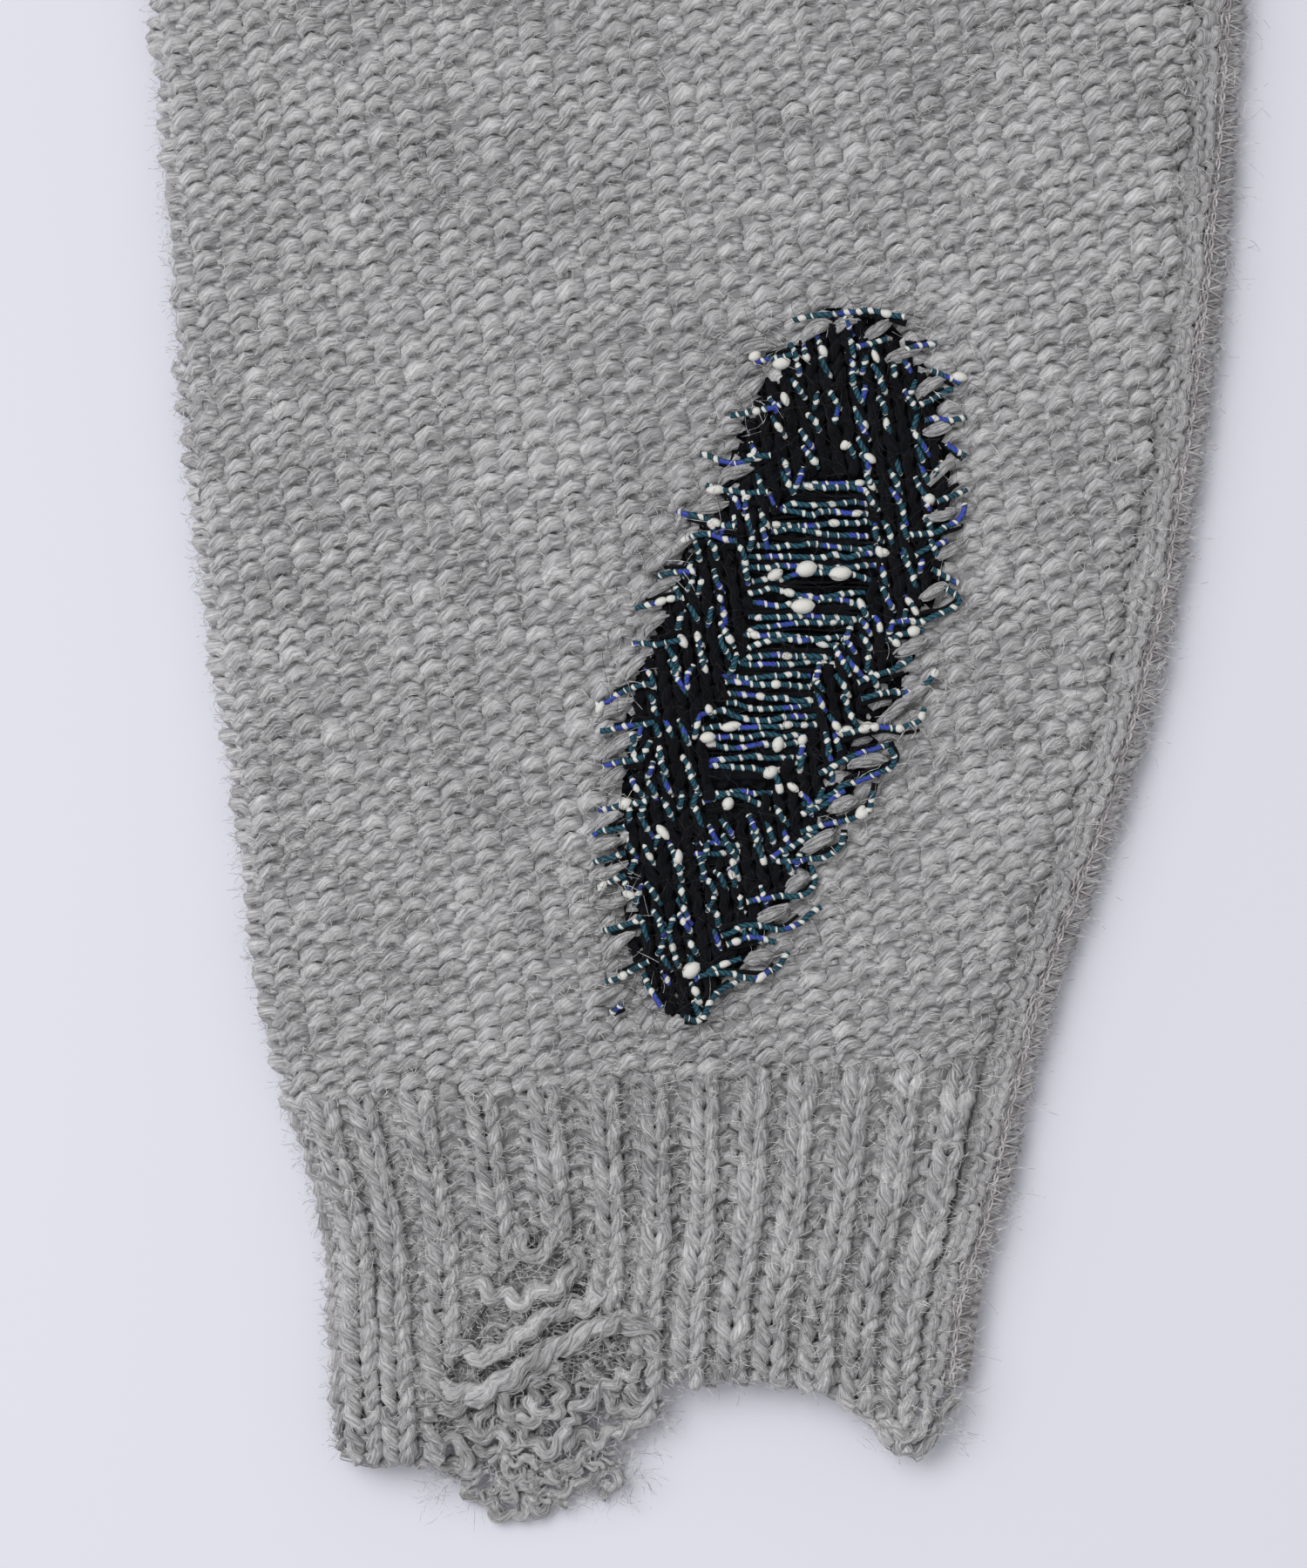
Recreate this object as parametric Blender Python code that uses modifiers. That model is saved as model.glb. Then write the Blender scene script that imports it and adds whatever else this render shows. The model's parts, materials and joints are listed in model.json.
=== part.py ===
"""A darned wool sweater, laid flat and face up.

It is a drop-shouldered crew neck knitted in thick heathered yarn and worn inside out, so its overlocked
seam allowances stand outside. One sleeve is darned, and its cuff has run and frayed.

Metres, +Z up. The back lies on z = 0, +Y points to the neck and +X to the wearer's left. The origin is on
the underside, at the middle of the laid sweater's outline. Run: blender --background --python part.py
"""

import math

import bmesh
import bpy
from mathutils import Matrix, Vector

MM = 0.001

# Cloth. A knitted wall is two yarns thick.
WALL = 3.6 * MM
SEAM_GAP = 0.3 * MM
TUBE_HEIGHT = 2 * WALL + 1.2 * MM
FRONT_TOP = 2 * WALL + SEAM_GAP
TUBE_ROUND = TUBE_HEIGHT / 2
ROUND_POINTS = 3

# Body panels, from the middle line out.
HEM_BOTTOM_Y = -344 * MM
HEM_TOP_Y = -272 * MM
NECK_X = 95 * MM
NECK_Y = 335 * MM
FRONT_NECK_DROP = 95 * MM
BACK_NECK_DROP = 20 * MM
SHOULDER_COLUMNS = 4
NECK_COLUMNS = 12
BODY_ROWS = 7
HEM_ROWS = 2
BODY_HALF_WIDTH = 270 * MM
BODY_SWELL = 16 * MM
BODY_SWELLS_BY = 1 / 1.4
BODY_PAST_UNDERARM = 1 * MM
HEM_DRAW_IN = 0.02
NECKBAND_INSET = 21 * MM
NECKBAND_FRONT_RISE = 28 * MM
NECKBAND_BACK_RISE = 27 * MM
NECKBAND_SIDE_RISE = 4 * MM

# The armhole, from the underarm up to the shoulder: rows of (y, half width).
ARMHOLE = (
    (85 * MM, 285 * MM),
    (101 * MM, 262 * MM),
    (136 * MM, 240 * MM),
    (190 * MM, 226 * MM),
    (250 * MM, 219 * MM),
    (310 * MM, 215 * MM),
)

# The sleeves. "along" runs from the cuff's worn edge towards the shoulder and "across" from the middle of
# the sleeve towards the body: the fold is on the outer side and the seam on the inner side. SLEEVE has rows
# of (along at the fold, across at the fold, along at the seam, across at the seam).
SLEEVE_SPLAY = math.radians(35)
SLEEVE = (
    (50 * MM, -63.8 * MM, 57 * MM, 57.8 * MM),
    (66 * MM, -68.0 * MM, 71 * MM, 62.0 * MM),
    (88 * MM, -70.8 * MM, 90 * MM, 69.0 * MM),
    (115 * MM, -74.2 * MM, 115 * MM, 77.0 * MM),
    (145 * MM, -78.8 * MM, 145 * MM, 83.0 * MM),
    (180 * MM, -82.3 * MM, 180 * MM, 88.2 * MM),
    (240 * MM, -86.7 * MM, 240 * MM, 92.4 * MM),
    (320 * MM, -92.0 * MM, 320 * MM, 98.0 * MM),
    (395 * MM, -96.5 * MM, 385 * MM, 102.0 * MM),
    (455 * MM, -95.0 * MM, 405 * MM, 103.4 * MM),
    (515 * MM, -83.0 * MM, 420 * MM, 104.2 * MM),
    (570 * MM, -58.0 * MM, 430 * MM, 104.7 * MM),
    (620 * MM, -20.0 * MM, 436 * MM, 105.0 * MM),
)
UNDERARM_ALONG = 440 * MM
UNDERARM_ACROSS = 105 * MM

# The cuffs, in the sleeve's own lengths. The whole edge is on the left cuff, and the right one's edge has
# worn away between two corners that still hang.
CUFF_EDGE_FOLD = -56 * MM
CUFF_EDGE_SEAM = 46.5 * MM
CUFF_EDGE_ALONG = -12.5 * MM
CUFF_WAIST_FOLD = -56.2 * MM
CUFF_WAIST_SEAM = 50.5 * MM
CUFF_ROWS = 4
WHOLE_CUFF_COLUMNS = 6
WORN_CUFF_COLUMNS = 20
# Rows of (across, along).
WORN_EDGE = (
    (-56.0 * MM, -11.0 * MM),
    (-50.0 * MM, -12.5 * MM),
    (-36.0 * MM, -12.0 * MM),
    (-31.0 * MM, -6.0 * MM),
    (-4.0 * MM, -3.0 * MM),
    (0.0 * MM, 1.0 * MM),
    (30.0 * MM, 0.5 * MM),
    (34.0 * MM, -4.5 * MM),
    (41.0 * MM, -13.0 * MM),
    (44.0 * MM, -12.5 * MM),
    (46.5 * MM, -8.0 * MM),
)
# The run: a gap in the upper layer of the right cuff alone, and the loose yarns that still cross it.
RUN_FLOOR = WALL + 0.6 * MM
RUN_OUTLINE = (
    (-38.0 * MM, -20.0 * MM),
    (-38.0 * MM, -1.0 * MM),
    (-30.0 * MM, 14.0 * MM),
    (-20.5 * MM, 26.0 * MM),
    (-14.0 * MM, 23.0 * MM),
    (-2.0 * MM, 7.0 * MM),
    (-1.0 * MM, -20.0 * MM),
)
YARN_RADIUS = 1.1 * MM
STRAND_Z = 6.9 * MM
STRAND_STEPS = 8
# Rows of (across at the start, along at the start, sag, across at the end, along at the end).
LOOSE_STRANDS = (
    (-26.2 * MM, 17.2 * MM, 3.0 * MM, -13.4 * MM, 18.4 * MM),
    (-30.6 * MM, 9.4 * MM, 3.4 * MM, -7.6 * MM, 11.4 * MM),
    (-34.6 * MM, 1.6 * MM, 2.6 * MM, -3.6 * MM, 5.0 * MM),
)
FRAY_OUTLINE = (
    (-34.0 * MM, -14.5 * MM),
    (-30.0 * MM, -8.5 * MM),
    (-6.0 * MM, -6.0 * MM),
    (-2.6 * MM, -9.0 * MM),
    (-7.0 * MM, -14.5 * MM),
    (-11.0 * MM, -19.0 * MM),
    (-19.0 * MM, -22.0 * MM),
    (-27.5 * MM, -21.0 * MM),
    (-33.0 * MM, -17.0 * MM),
)
FRAY_THICKNESS = 5 * MM

# Overlocked seam allowances, outside the garment.
ALLOWANCE = 8 * MM
ALLOWANCE_THICKNESS = 4.8 * MM
ALLOWANCE_TOP = 5.8 * MM
ALLOWANCE_AT_UNDERARM = 1.5 * MM
ALLOWANCE_GROWS_OVER = 45 * MM
ALLOWANCE_ABOVE_HEM = 2 * MM
ALLOWANCE_BELOW_UNDERARM = 6 * MM
ARMHOLE_RIDGE_THICKNESS = 2.6 * MM
ARMHOLE_ALLOWANCE = 7 * MM

# The darn: a slanting lozenge on the right sleeve's upper layer, in rows of (along, left, right).
DARN_THICKNESS = 1.6 * MM
DARN_CELLS_ACROSS = 4
DARN = (
    (64.0 * MM, 3.0 * MM, 9.0 * MM),
    (70.0 * MM, -4.0 * MM, 13.0 * MM),
    (79.0 * MM, -6.5 * MM, 20.0 * MM),
    (90.0 * MM, -8.0 * MM, 28.5 * MM),
    (103.0 * MM, -8.5 * MM, 37.0 * MM),
    (117.0 * MM, -8.0 * MM, 45.5 * MM),
    (131.0 * MM, -3.5 * MM, 49.0 * MM),
    (146.0 * MM, 2.5 * MM, 52.0 * MM),
    (160.0 * MM, 9.0 * MM, 53.0 * MM),
    (171.0 * MM, 14.5 * MM, 52.0 * MM),
    (180.0 * MM, 19.0 * MM, 47.0 * MM),
    (187.0 * MM, 27.0 * MM, 41.5 * MM),
)

# Soft folds in the upper layer: ridges that fade at both ends. Rows of (x and y at the start, x and y at
# the end, half width, height).
FOLDS = (
    (-235 * MM, 30 * MM, -80 * MM, 150 * MM, 44 * MM, 6.0 * MM),
    (-250 * MM, -60 * MM, -110 * MM, 15 * MM, 40 * MM, 4.0 * MM),
    (230 * MM, 40 * MM, 95 * MM, 175 * MM, 44 * MM, 6.0 * MM),
    (240 * MM, -70 * MM, 60 * MM, -20 * MM, 42 * MM, 4.5 * MM),
    (-70 * MM, -240 * MM, 30 * MM, -70 * MM, 46 * MM, 3.5 * MM),
    (-335 * MM, 95 * MM, -400 * MM, 215 * MM, 38 * MM, 6.0 * MM),
    (-385 * MM, 45 * MM, -495 * MM, 100 * MM, 36 * MM, 4.5 * MM),
    (330 * MM, 105 * MM, 385 * MM, 220 * MM, 38 * MM, 6.0 * MM),
    (395 * MM, 30 * MM, 500 * MM, 85 * MM, 38 * MM, 5.0 * MM),
)

SIDES = {"right": -1, "left": 1}
WOOL = (0.275, 0.275, 0.282)
SEWING_THREAD = (0.36, 0.32, 0.30)
DARNING_WOOL = (0.02, 0.03, 0.045)


def material(name, color, roughness):
    """Return a Principled material of one colour."""
    made = bpy.data.materials.new(name)
    made.use_nodes = True
    shader = made.node_tree.nodes["Principled BSDF"]
    shader.inputs["Base Color"].default_value = (*color, 1)
    shader.inputs["Roughness"].default_value = roughness
    shader.inputs["Metallic"].default_value = 0
    return made


def finish(bm, name, collection, finish_material):
    """Turn a bmesh into a named, smooth-shaded object in the collection, and return it."""
    mesh = bpy.data.meshes.new(name)
    bm.to_mesh(mesh)
    bm.free()
    mesh.shade_smooth()
    made = bpy.data.objects.new(name, mesh)
    made.data.materials.append(finish_material)
    collection.objects.link(made)
    return made


def solidify(target, thickness):
    """Give an open surface its wall, inwards from the outer face."""
    wall = target.modifiers.new("wall", "SOLIDIFY")
    wall.thickness = thickness
    wall.offset = -1
    wall.use_even_offset = True


def along_polyline(points, share):
    """Return the point at this share of a polyline's corners, so that whole shares of corners hit them."""
    place = share * (len(points) - 1)
    index = min(int(place), len(points) - 2)
    return points[index].lerp(points[index + 1], place - index)


def fold_height(x, y):
    """Return how far the soft folds lift the upper layer at this place."""
    lift = 0.0
    for x_start, y_start, x_end, y_end, half_width, height in FOLDS:
        start = Vector((x_start, y_start))
        run = Vector((x_end, y_end)) - start
        share = (Vector((x, y)) - start).dot(run) / run.length_squared
        if not 0 < share < 1:
            continue
        away = (Vector((x, y)) - start - share * run).length / half_width
        if away < 1:
            lift += height * math.sin(math.pi * share) * (1 + math.cos(math.pi * away)) / 2
    return lift


def sleeve_to_body(side, across, along):
    """Return a sleeve's own place as a place on the laid sweater."""
    across_way = Vector((math.cos(SLEEVE_SPLAY), -math.sin(SLEEVE_SPLAY)))
    along_way = Vector((math.sin(SLEEVE_SPLAY), math.cos(SLEEVE_SPLAY)))
    underarm = Vector((-ARMHOLE[0][1], ARMHOLE[0][0]))
    place = underarm + (across - UNDERARM_ACROSS) * across_way + (along - UNDERARM_ALONG) * along_way
    place.x *= -SIDES[side]
    return place


def armhole_corners(side, inset=0.0):
    """Return the armhole's corners from underarm to shoulder, moved outwards by inset."""
    return [Vector((SIDES[side] * (half_width + inset), y)) for y, half_width in ARMHOLE]


def flat_ring(upper, lower, inset=0.0, bulge_way=None):
    """Return a flattened ring's points: over the upper layer, round the fold, back below, round the seam.

    upper and lower are lists of places, both from the seam to the fold. Each end bulges by half the height,
    along bulge_way or else straight on. The ring lies this inset inside the tube's outer face.
    """
    radius = TUBE_ROUND - inset
    ring = [Vector((*p, TUBE_HEIGHT - inset + fold_height(*p))) for p in upper]
    for first, last, inner_first, inner_last, back in (
        (upper[-1], lower[-1], upper[-2], lower[-2], False),
        (lower[0], upper[0], lower[1], upper[1], True),
    ):
        if back:
            ring += [Vector((*p, inset)) for p in reversed(lower)]
        straight_on = (first - inner_first).normalized() + (last - inner_last).normalized()
        outwards = bulge_way or straight_on.normalized()
        for step in range(1, ROUND_POINTS + 1):
            angle = math.pi * step / (ROUND_POINTS + 1)
            place = first.lerp(last, step / (ROUND_POINTS + 1)) + radius * math.sin(angle) * outwards
            height = radius * math.cos(angle)
            ring.append(Vector((*place, TUBE_ROUND + (-height if back else height))))
    return ring


def tube(sections, bulge_way=None):
    """Return a bmesh of an open-ended tube with its wall, from sections of (upper places, lower places)."""
    outer = [flat_ring(upper, lower, 0, bulge_way) for upper, lower in sections]
    inner = [flat_ring(upper, lower, WALL, bulge_way) for upper, lower in reversed(sections)]
    bm = bmesh.new()
    circle = bmesh.ops.create_circle(bm, segments=len(outer[0]), radius=1)["verts"]
    first = walk_loop(circle[0].link_edges[0])
    place_loop(first, outer[0])
    loop = first
    for ring in outer[1:] + inner:
        loop_edges = [bm.edges.get((a, b)) for a, b in zip(loop, loop[1:] + loop[:1])]
        made = bmesh.ops.extrude_edge_only(bm, edges=loop_edges)["geom"]
        new = {v for v in made if isinstance(v, bmesh.types.BMVert)}
        loop = [next(e.other_vert(v) for e in v.link_edges if e.other_vert(v) in new) for v in loop]
        place_loop(loop, ring)
    ends = [bm.edges.get((a, b)) for ring in (first, loop) for a, b in zip(ring, ring[1:] + ring[:1])]
    bmesh.ops.bridge_loops(bm, edges=ends)
    bmesh.ops.recalc_face_normals(bm, faces=bm.faces[:])
    return bm


def walk_loop(edge):
    """Return a closed edge loop's vertices in order."""
    loop = [edge.verts[0], edge.verts[1]]
    while True:
        last, before = loop[-1], loop[-2]
        following = next(e.other_vert(last) for e in last.link_edges if e.other_vert(last) is not before)
        if following is loop[0]:
            return loop
        loop.append(following)


def place_loop(loop, points):
    """Move a loop's vertices onto the points."""
    for vertex, point in zip(loop, points):
        vertex.co = point


def mapped_grid(columns, rows, place):
    """Return a bmesh grid whose vertex at (column, row) lies at place(column, row)."""
    bm = bmesh.new()
    bmesh.ops.create_grid(bm, x_segments=columns, y_segments=rows, size=1)
    for vertex in bm.verts:
        column_index = round((vertex.co.x + 1) / 2 * columns)
        row_index = round((vertex.co.y + 1) / 2 * rows)
        vertex.co = place(column_index, row_index)
    return bm


def neckline(drop, inset=0.0):
    """Return the neckline's corners from the wearer's left to right, moved into the opening by inset."""
    corners = []
    for step in range(NECK_COLUMNS + 1):
        angle = math.pi * step / NECK_COLUMNS
        corner = Vector((NECK_X * math.cos(angle), NECK_Y - drop * math.sin(angle)))
        inwards = Vector((-drop * math.cos(angle), NECK_X * math.sin(angle))).normalized()
        corners.append(corner + inset * inwards)
    return corners


def panel_top_corners(drop):
    """Return a panel's top edge from the wearer's right shoulder, round the neck, to the left shoulder."""
    neck = neckline(drop)
    shoulder = Vector((ARMHOLE[-1][1], ARMHOLE[-1][0]))
    left = [neck[0].lerp(shoulder, step / SHOULDER_COLUMNS) for step in range(SHOULDER_COLUMNS, 0, -1)]
    right = [Vector((-corner.x, corner.y)) for corner in reversed(left)]
    return list(reversed(left + neck + right))


def body_side_rows():
    """Return a panel's rows, as shares of the height to the shoulder and of the shoulder's half width."""
    low = HEM_TOP_Y + SEAM_GAP
    underarm_y, underarm_x = ARMHOLE[0]
    rows = []
    for step in range(BODY_ROWS):
        share = step / BODY_ROWS
        half_width = BODY_HALF_WIDTH + BODY_SWELL * math.sin(math.pi * min(1.0, share / BODY_SWELLS_BY) / 2)
        rows.append((low + share * (underarm_y - low), min(half_width, underarm_x + BODY_PAST_UNDERARM)))
    rows += [tuple(row) for row in ARMHOLE]
    shoulder_y, shoulder_x = ARMHOLE[-1]
    return [((y - low) / (shoulder_y - low), x / shoulder_x) for y, x in rows]


def body_panel(name, drop, top_z, folded, collection, wool):
    """Make the front or the back: a grid from the hem to the shoulders and neckline, its wall below it."""
    top = panel_top_corners(drop)
    rows = body_side_rows()
    low = HEM_TOP_Y + SEAM_GAP

    def place(column_index, row_index):
        share, spread = rows[row_index]
        x = top[column_index].x * spread
        y = low + share * (top[column_index].y - low)
        return Vector((x, y, top_z + (fold_height(x, y) if folded else 0)))

    made = finish(mapped_grid(len(top) - 1, len(rows) - 1, place), name, collection, wool)
    solidify(made, WALL)
    return made


def hem(name, top_z, collection, wool):
    """Make the front or back half of the ribbed hem."""
    top = panel_top_corners(0)
    spread = body_side_rows()[0][1]

    def place(column_index, row_index):
        share = row_index / HEM_ROWS
        x = top[column_index].x * spread * (1 - HEM_DRAW_IN * (1 - share))
        return Vector((x, HEM_BOTTOM_Y + share * (HEM_TOP_Y - HEM_BOTTOM_Y), top_z))

    made = finish(mapped_grid(len(top) - 1, HEM_ROWS, place), name, collection, wool)
    solidify(made, WALL)
    return made


def neckband(collection, wool):
    """Make the ribbed neckband: a flattened ring that dips in front and runs almost straight behind."""
    front, back = neckline(FRONT_NECK_DROP, SEAM_GAP), neckline(BACK_NECK_DROP, SEAM_GAP)
    sections = []
    for share in (0, 0.5, 1):
        upper, lower = [], []
        squeeze = 1 - share * NECKBAND_INSET / NECK_X
        for step, (front_corner, back_corner) in enumerate(zip(front, back)):
            middle = math.sin(math.pi * step / NECK_COLUMNS)
            side = NECKBAND_SIDE_RISE * (1 - middle)
            front_rise = share * (side + NECKBAND_FRONT_RISE * middle)
            back_rise = share * (side + NECKBAND_BACK_RISE * middle)
            upper.append(Vector((front_corner.x * squeeze, front_corner.y + front_rise)))
            lower.append(Vector((back_corner.x * squeeze, back_corner.y + back_rise)))
        sections.append((upper, lower))
    return finish(tube(sections, Vector((0, 1))), "neckband", collection, wool)


def section(side, row, count):
    """Return count + 1 places across a sleeve, from the seam to the fold, clear of its rounded ends."""
    along_fold, across_fold, along_seam, across_seam = row
    seam = sleeve_to_body(side, across_seam, along_seam)
    fold = sleeve_to_body(side, across_fold, along_fold)
    inset = TUBE_ROUND / (fold - seam).length
    return [seam.lerp(fold, inset + (1 - 2 * inset) * step / count) for step in range(count + 1)]


def sleeve(side, collection, wool):
    """Make a sleeve: a flattened tube from the top of the cuff round to the armhole."""
    corners = armhole_corners(side, SEAM_GAP)
    fine, coarse = 2 * (len(corners) - 1), len(corners) - 1
    sections = [(section(side, row, fine), section(side, row, coarse)) for row in SLEEVE]
    upper = [along_polyline(corners, step / fine) for step in range(fine + 1)]
    lower = [along_polyline(corners, step / coarse) for step in range(coarse + 1)]
    return finish(tube(sections + [(upper, lower)]), "sleeve_" + side, collection, wool)


def worn_edge(across):
    """Return how far along the sleeve the worn cuff's edge lies."""
    places = [Vector(row) for row in WORN_EDGE]
    for low, high in zip(places, places[1:]):
        if across <= high.x:
            share = max(0.0, (across - low.x) / (high.x - low.x))
            return low.y + share * (high.y - low.y)
    return places[-1].y


def cuff_place(portion, share, worn):
    """Return (across, along) on a cuff: portion is seam to fold, and share is top to edge."""
    along_fold, across_fold, along_seam, across_seam = SLEEVE[0]
    top_across = across_seam + portion * (across_fold - across_seam)
    top_along = along_seam + portion * (along_fold - along_seam) - SEAM_GAP
    low_across = CUFF_EDGE_SEAM + portion * (CUFF_EDGE_FOLD - CUFF_EDGE_SEAM)
    low_along = worn_edge(low_across) if worn else CUFF_EDGE_ALONG
    waist = CUFF_WAIST_SEAM + portion * (CUFF_WAIST_FOLD - CUFF_WAIST_SEAM)
    draw_in = waist - (top_across + low_across) / 2
    across = top_across + share * (low_across - top_across) + draw_in * math.sin(math.pi * share)
    return across, top_along + share * (low_along - top_along)


def cuff(side, worn, collection, wool):
    """Make a cuff: a flattened ribbed tube below the sleeve, drawn in at its waist."""
    count = WORN_CUFF_COLUMNS if worn else WHOLE_CUFF_COLUMNS
    sections = []
    for step in range(CUFF_ROWS + 1):
        places = []
        for point in range(count + 1):
            across, along = cuff_place(point / count, step / CUFF_ROWS, worn)
            clear_of_ends = TUBE_ROUND * (2 * point / count - 1)
            places.append(sleeve_to_body(side, across + clear_of_ends, along))
        sections.append((places, places))
    return finish(tube(sections), "cuff_" + side, collection, wool)


def prism(name, outline, low_z, high_z, collection, finish_material):
    """Make an upright prism on an outline given in the right sleeve's own lengths."""
    bm = bmesh.new()
    verts = bmesh.ops.create_circle(bm, cap_ends=True, segments=len(outline), radius=1)["verts"]
    loop = walk_loop(verts[0].link_edges[0])
    places = [sleeve_to_body("right", *row) for row in outline]
    place_loop(loop, [Vector((*place, low_z)) for place in places])
    made = bmesh.ops.extrude_face_region(bm, geom=bm.faces[:])["geom"]
    risen = [v for v in made if isinstance(v, bmesh.types.BMVert)]
    bmesh.ops.translate(bm, verts=risen, vec=Vector((0, 0, high_z - low_z)))
    bmesh.ops.recalc_face_normals(bm, faces=bm.faces[:])
    return finish(bm, name, collection, finish_material)


def strip(name, inner, outer, top_z, thickness, collection, thread):
    """Make a flat strip between two lists of places, with its thickness below top_z."""

    def place(column_index, row_index):
        return Vector((*(outer if row_index else inner)[column_index], top_z))

    bm = mapped_grid(len(inner) - 1, 1, place)
    bmesh.ops.recalc_face_normals(bm, faces=bm.faces[:])
    if bm.faces[:][0].normal.z < 0:
        bmesh.ops.reverse_faces(bm, faces=bm.faces[:])
    made = finish(bm, name, collection, thread)
    solidify(made, thickness)
    return made


def allowance_width(distance):
    """Return an allowance's width this far from the underarm, where two of them meet."""
    growth = (ALLOWANCE - ALLOWANCE_AT_UNDERARM) * distance / ALLOWANCE_GROWS_OVER
    return min(ALLOWANCE, ALLOWANCE_AT_UNDERARM + growth)


def offset_strip(name, line, away, widths, collection, thread):
    """Make an allowance beside a line of places, SEAM_GAP clear of it and as wide as widths say."""
    inner = [point + SEAM_GAP * away for point in line]
    outer = [point + (SEAM_GAP + width) * away for point, width in zip(line, widths)]
    return strip(name, inner, outer, ALLOWANCE_TOP, ALLOWANCE_THICKNESS, collection, thread)


def sleeve_seam(side, collection, thread):
    """Make the allowance along a sleeve's inner edge, from the cuff to the underarm."""
    rows = [cuff_place(0, step / CUFF_ROWS, side == "right") for step in range(CUFF_ROWS, 0, -1)]
    rows += [(row[3], row[2]) for row in SLEEVE[:-2]]
    line = [sleeve_to_body(side, across, along) for across, along in rows]
    underarm = sleeve_to_body(side, UNDERARM_ACROSS, UNDERARM_ALONG)
    away = sleeve_to_body(side, 1, 0) - sleeve_to_body(side, 0, 0)
    widths = [allowance_width((underarm - point).length) for point in line]
    return offset_strip("sleeve_seam_" + side, line, away, widths, collection, thread)


def side_seam(side, collection, thread):
    """Make the allowance along the body's side, from the hem to the underarm."""
    shoulder_y, shoulder_x = ARMHOLE[-1]
    low = HEM_TOP_Y + SEAM_GAP
    edge = []
    for share, spread in body_side_rows()[:BODY_ROWS]:
        edge.append(Vector((SIDES[side] * shoulder_x * spread, low + share * (shoulder_y - low))))
    hem_low = Vector((edge[0].x * (1 - HEM_DRAW_IN), HEM_BOTTOM_Y + ALLOWANCE_ABOVE_HEM))
    underarm = Vector((SIDES[side] * ARMHOLE[0][1], ARMHOLE[0][0] - ALLOWANCE_BELOW_UNDERARM))
    line = [hem_low] + edge + [underarm]
    widths = [allowance_width(ARMHOLE[0][0] - point.y) for point in line]
    return offset_strip("side_seam_" + side, line, Vector((SIDES[side], 0)), widths, collection, thread)


def shoulder_seam(side, collection, thread):
    """Make the allowance along a shoulder, from the neckband to the armhole."""
    neck = Vector((SIDES[side] * NECK_X, NECK_Y))
    shoulder = Vector((SIDES[side] * ARMHOLE[-1][1], ARMHOLE[-1][0]))
    line = [neck.lerp(shoulder, step / SHOULDER_COLUMNS) for step in range(SHOULDER_COLUMNS + 1)]
    widths = [ALLOWANCE] * len(line)
    return offset_strip("shoulder_seam_" + side, line, Vector((0, 1)), widths, collection, thread)


def armhole_seam(side, collection, thread):
    """Make the allowance on the front panel, along the armhole."""
    outer = [point - Vector((SIDES[side] * SEAM_GAP, 0)) for point in armhole_corners(side)[1:]]
    inner = [point - Vector((SIDES[side] * ARMHOLE_ALLOWANCE, 0)) for point in outer]
    top_z = FRONT_TOP + SEAM_GAP + ARMHOLE_RIDGE_THICKNESS
    return strip("armhole_seam_" + side, inner, outer, top_z, ARMHOLE_RIDGE_THICKNESS, collection, thread)


def darn_patch(collection, darning):
    """Make the darn: a plate over the right sleeve's upper layer, following its outline."""

    def place(column_index, row_index):
        along, left, right = DARN[row_index]
        spot = sleeve_to_body("right", left + column_index / DARN_CELLS_ACROSS * (right - left), along)
        return Vector((*spot, TUBE_HEIGHT + SEAM_GAP + DARN_THICKNESS))

    made = finish(mapped_grid(DARN_CELLS_ACROSS, len(DARN) - 1, place), "darn_patch", collection, darning)
    solidify(made, DARN_THICKNESS)
    return made


def loose_strand(number, row, collection, wool):
    """Make one loose yarn that sags across the run."""
    across_start, along_start, sag, across_end, along_end = row
    data = bpy.data.curves.new(f"loose_strand_{number}", "CURVE")
    data.dimensions = "3D"
    data.bevel_depth = YARN_RADIUS
    data.bevel_resolution = 1
    data.use_fill_caps = True
    spline = data.splines.new("POLY")
    spline.points.add(STRAND_STEPS)
    for step, point in enumerate(spline.points):
        share = step / STRAND_STEPS
        across = across_start + share * (across_end - across_start)
        along = along_start + share * (along_end - along_start) - sag * math.sin(math.pi * share)
        point.co = (*sleeve_to_body("right", across, along), STRAND_Z, 1)
    made = bpy.data.objects.new(data.name, data)
    data.materials.append(wool)
    collection.objects.link(made)
    return made


def cut_run(target, cutters, wool):
    """Cut the run out of the cuff's upper layer."""
    cutter = prism("run_cutter", RUN_OUTLINE, RUN_FLOOR, 2 * TUBE_HEIGHT, cutters, wool)
    cutter.hide_render = True
    cutter.display_type = "WIRE"
    cut = target.modifiers.new("run", "BOOLEAN")
    cut.operation = "DIFFERENCE"
    cut.solver = "EXACT"
    cut.object = cutter


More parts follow.
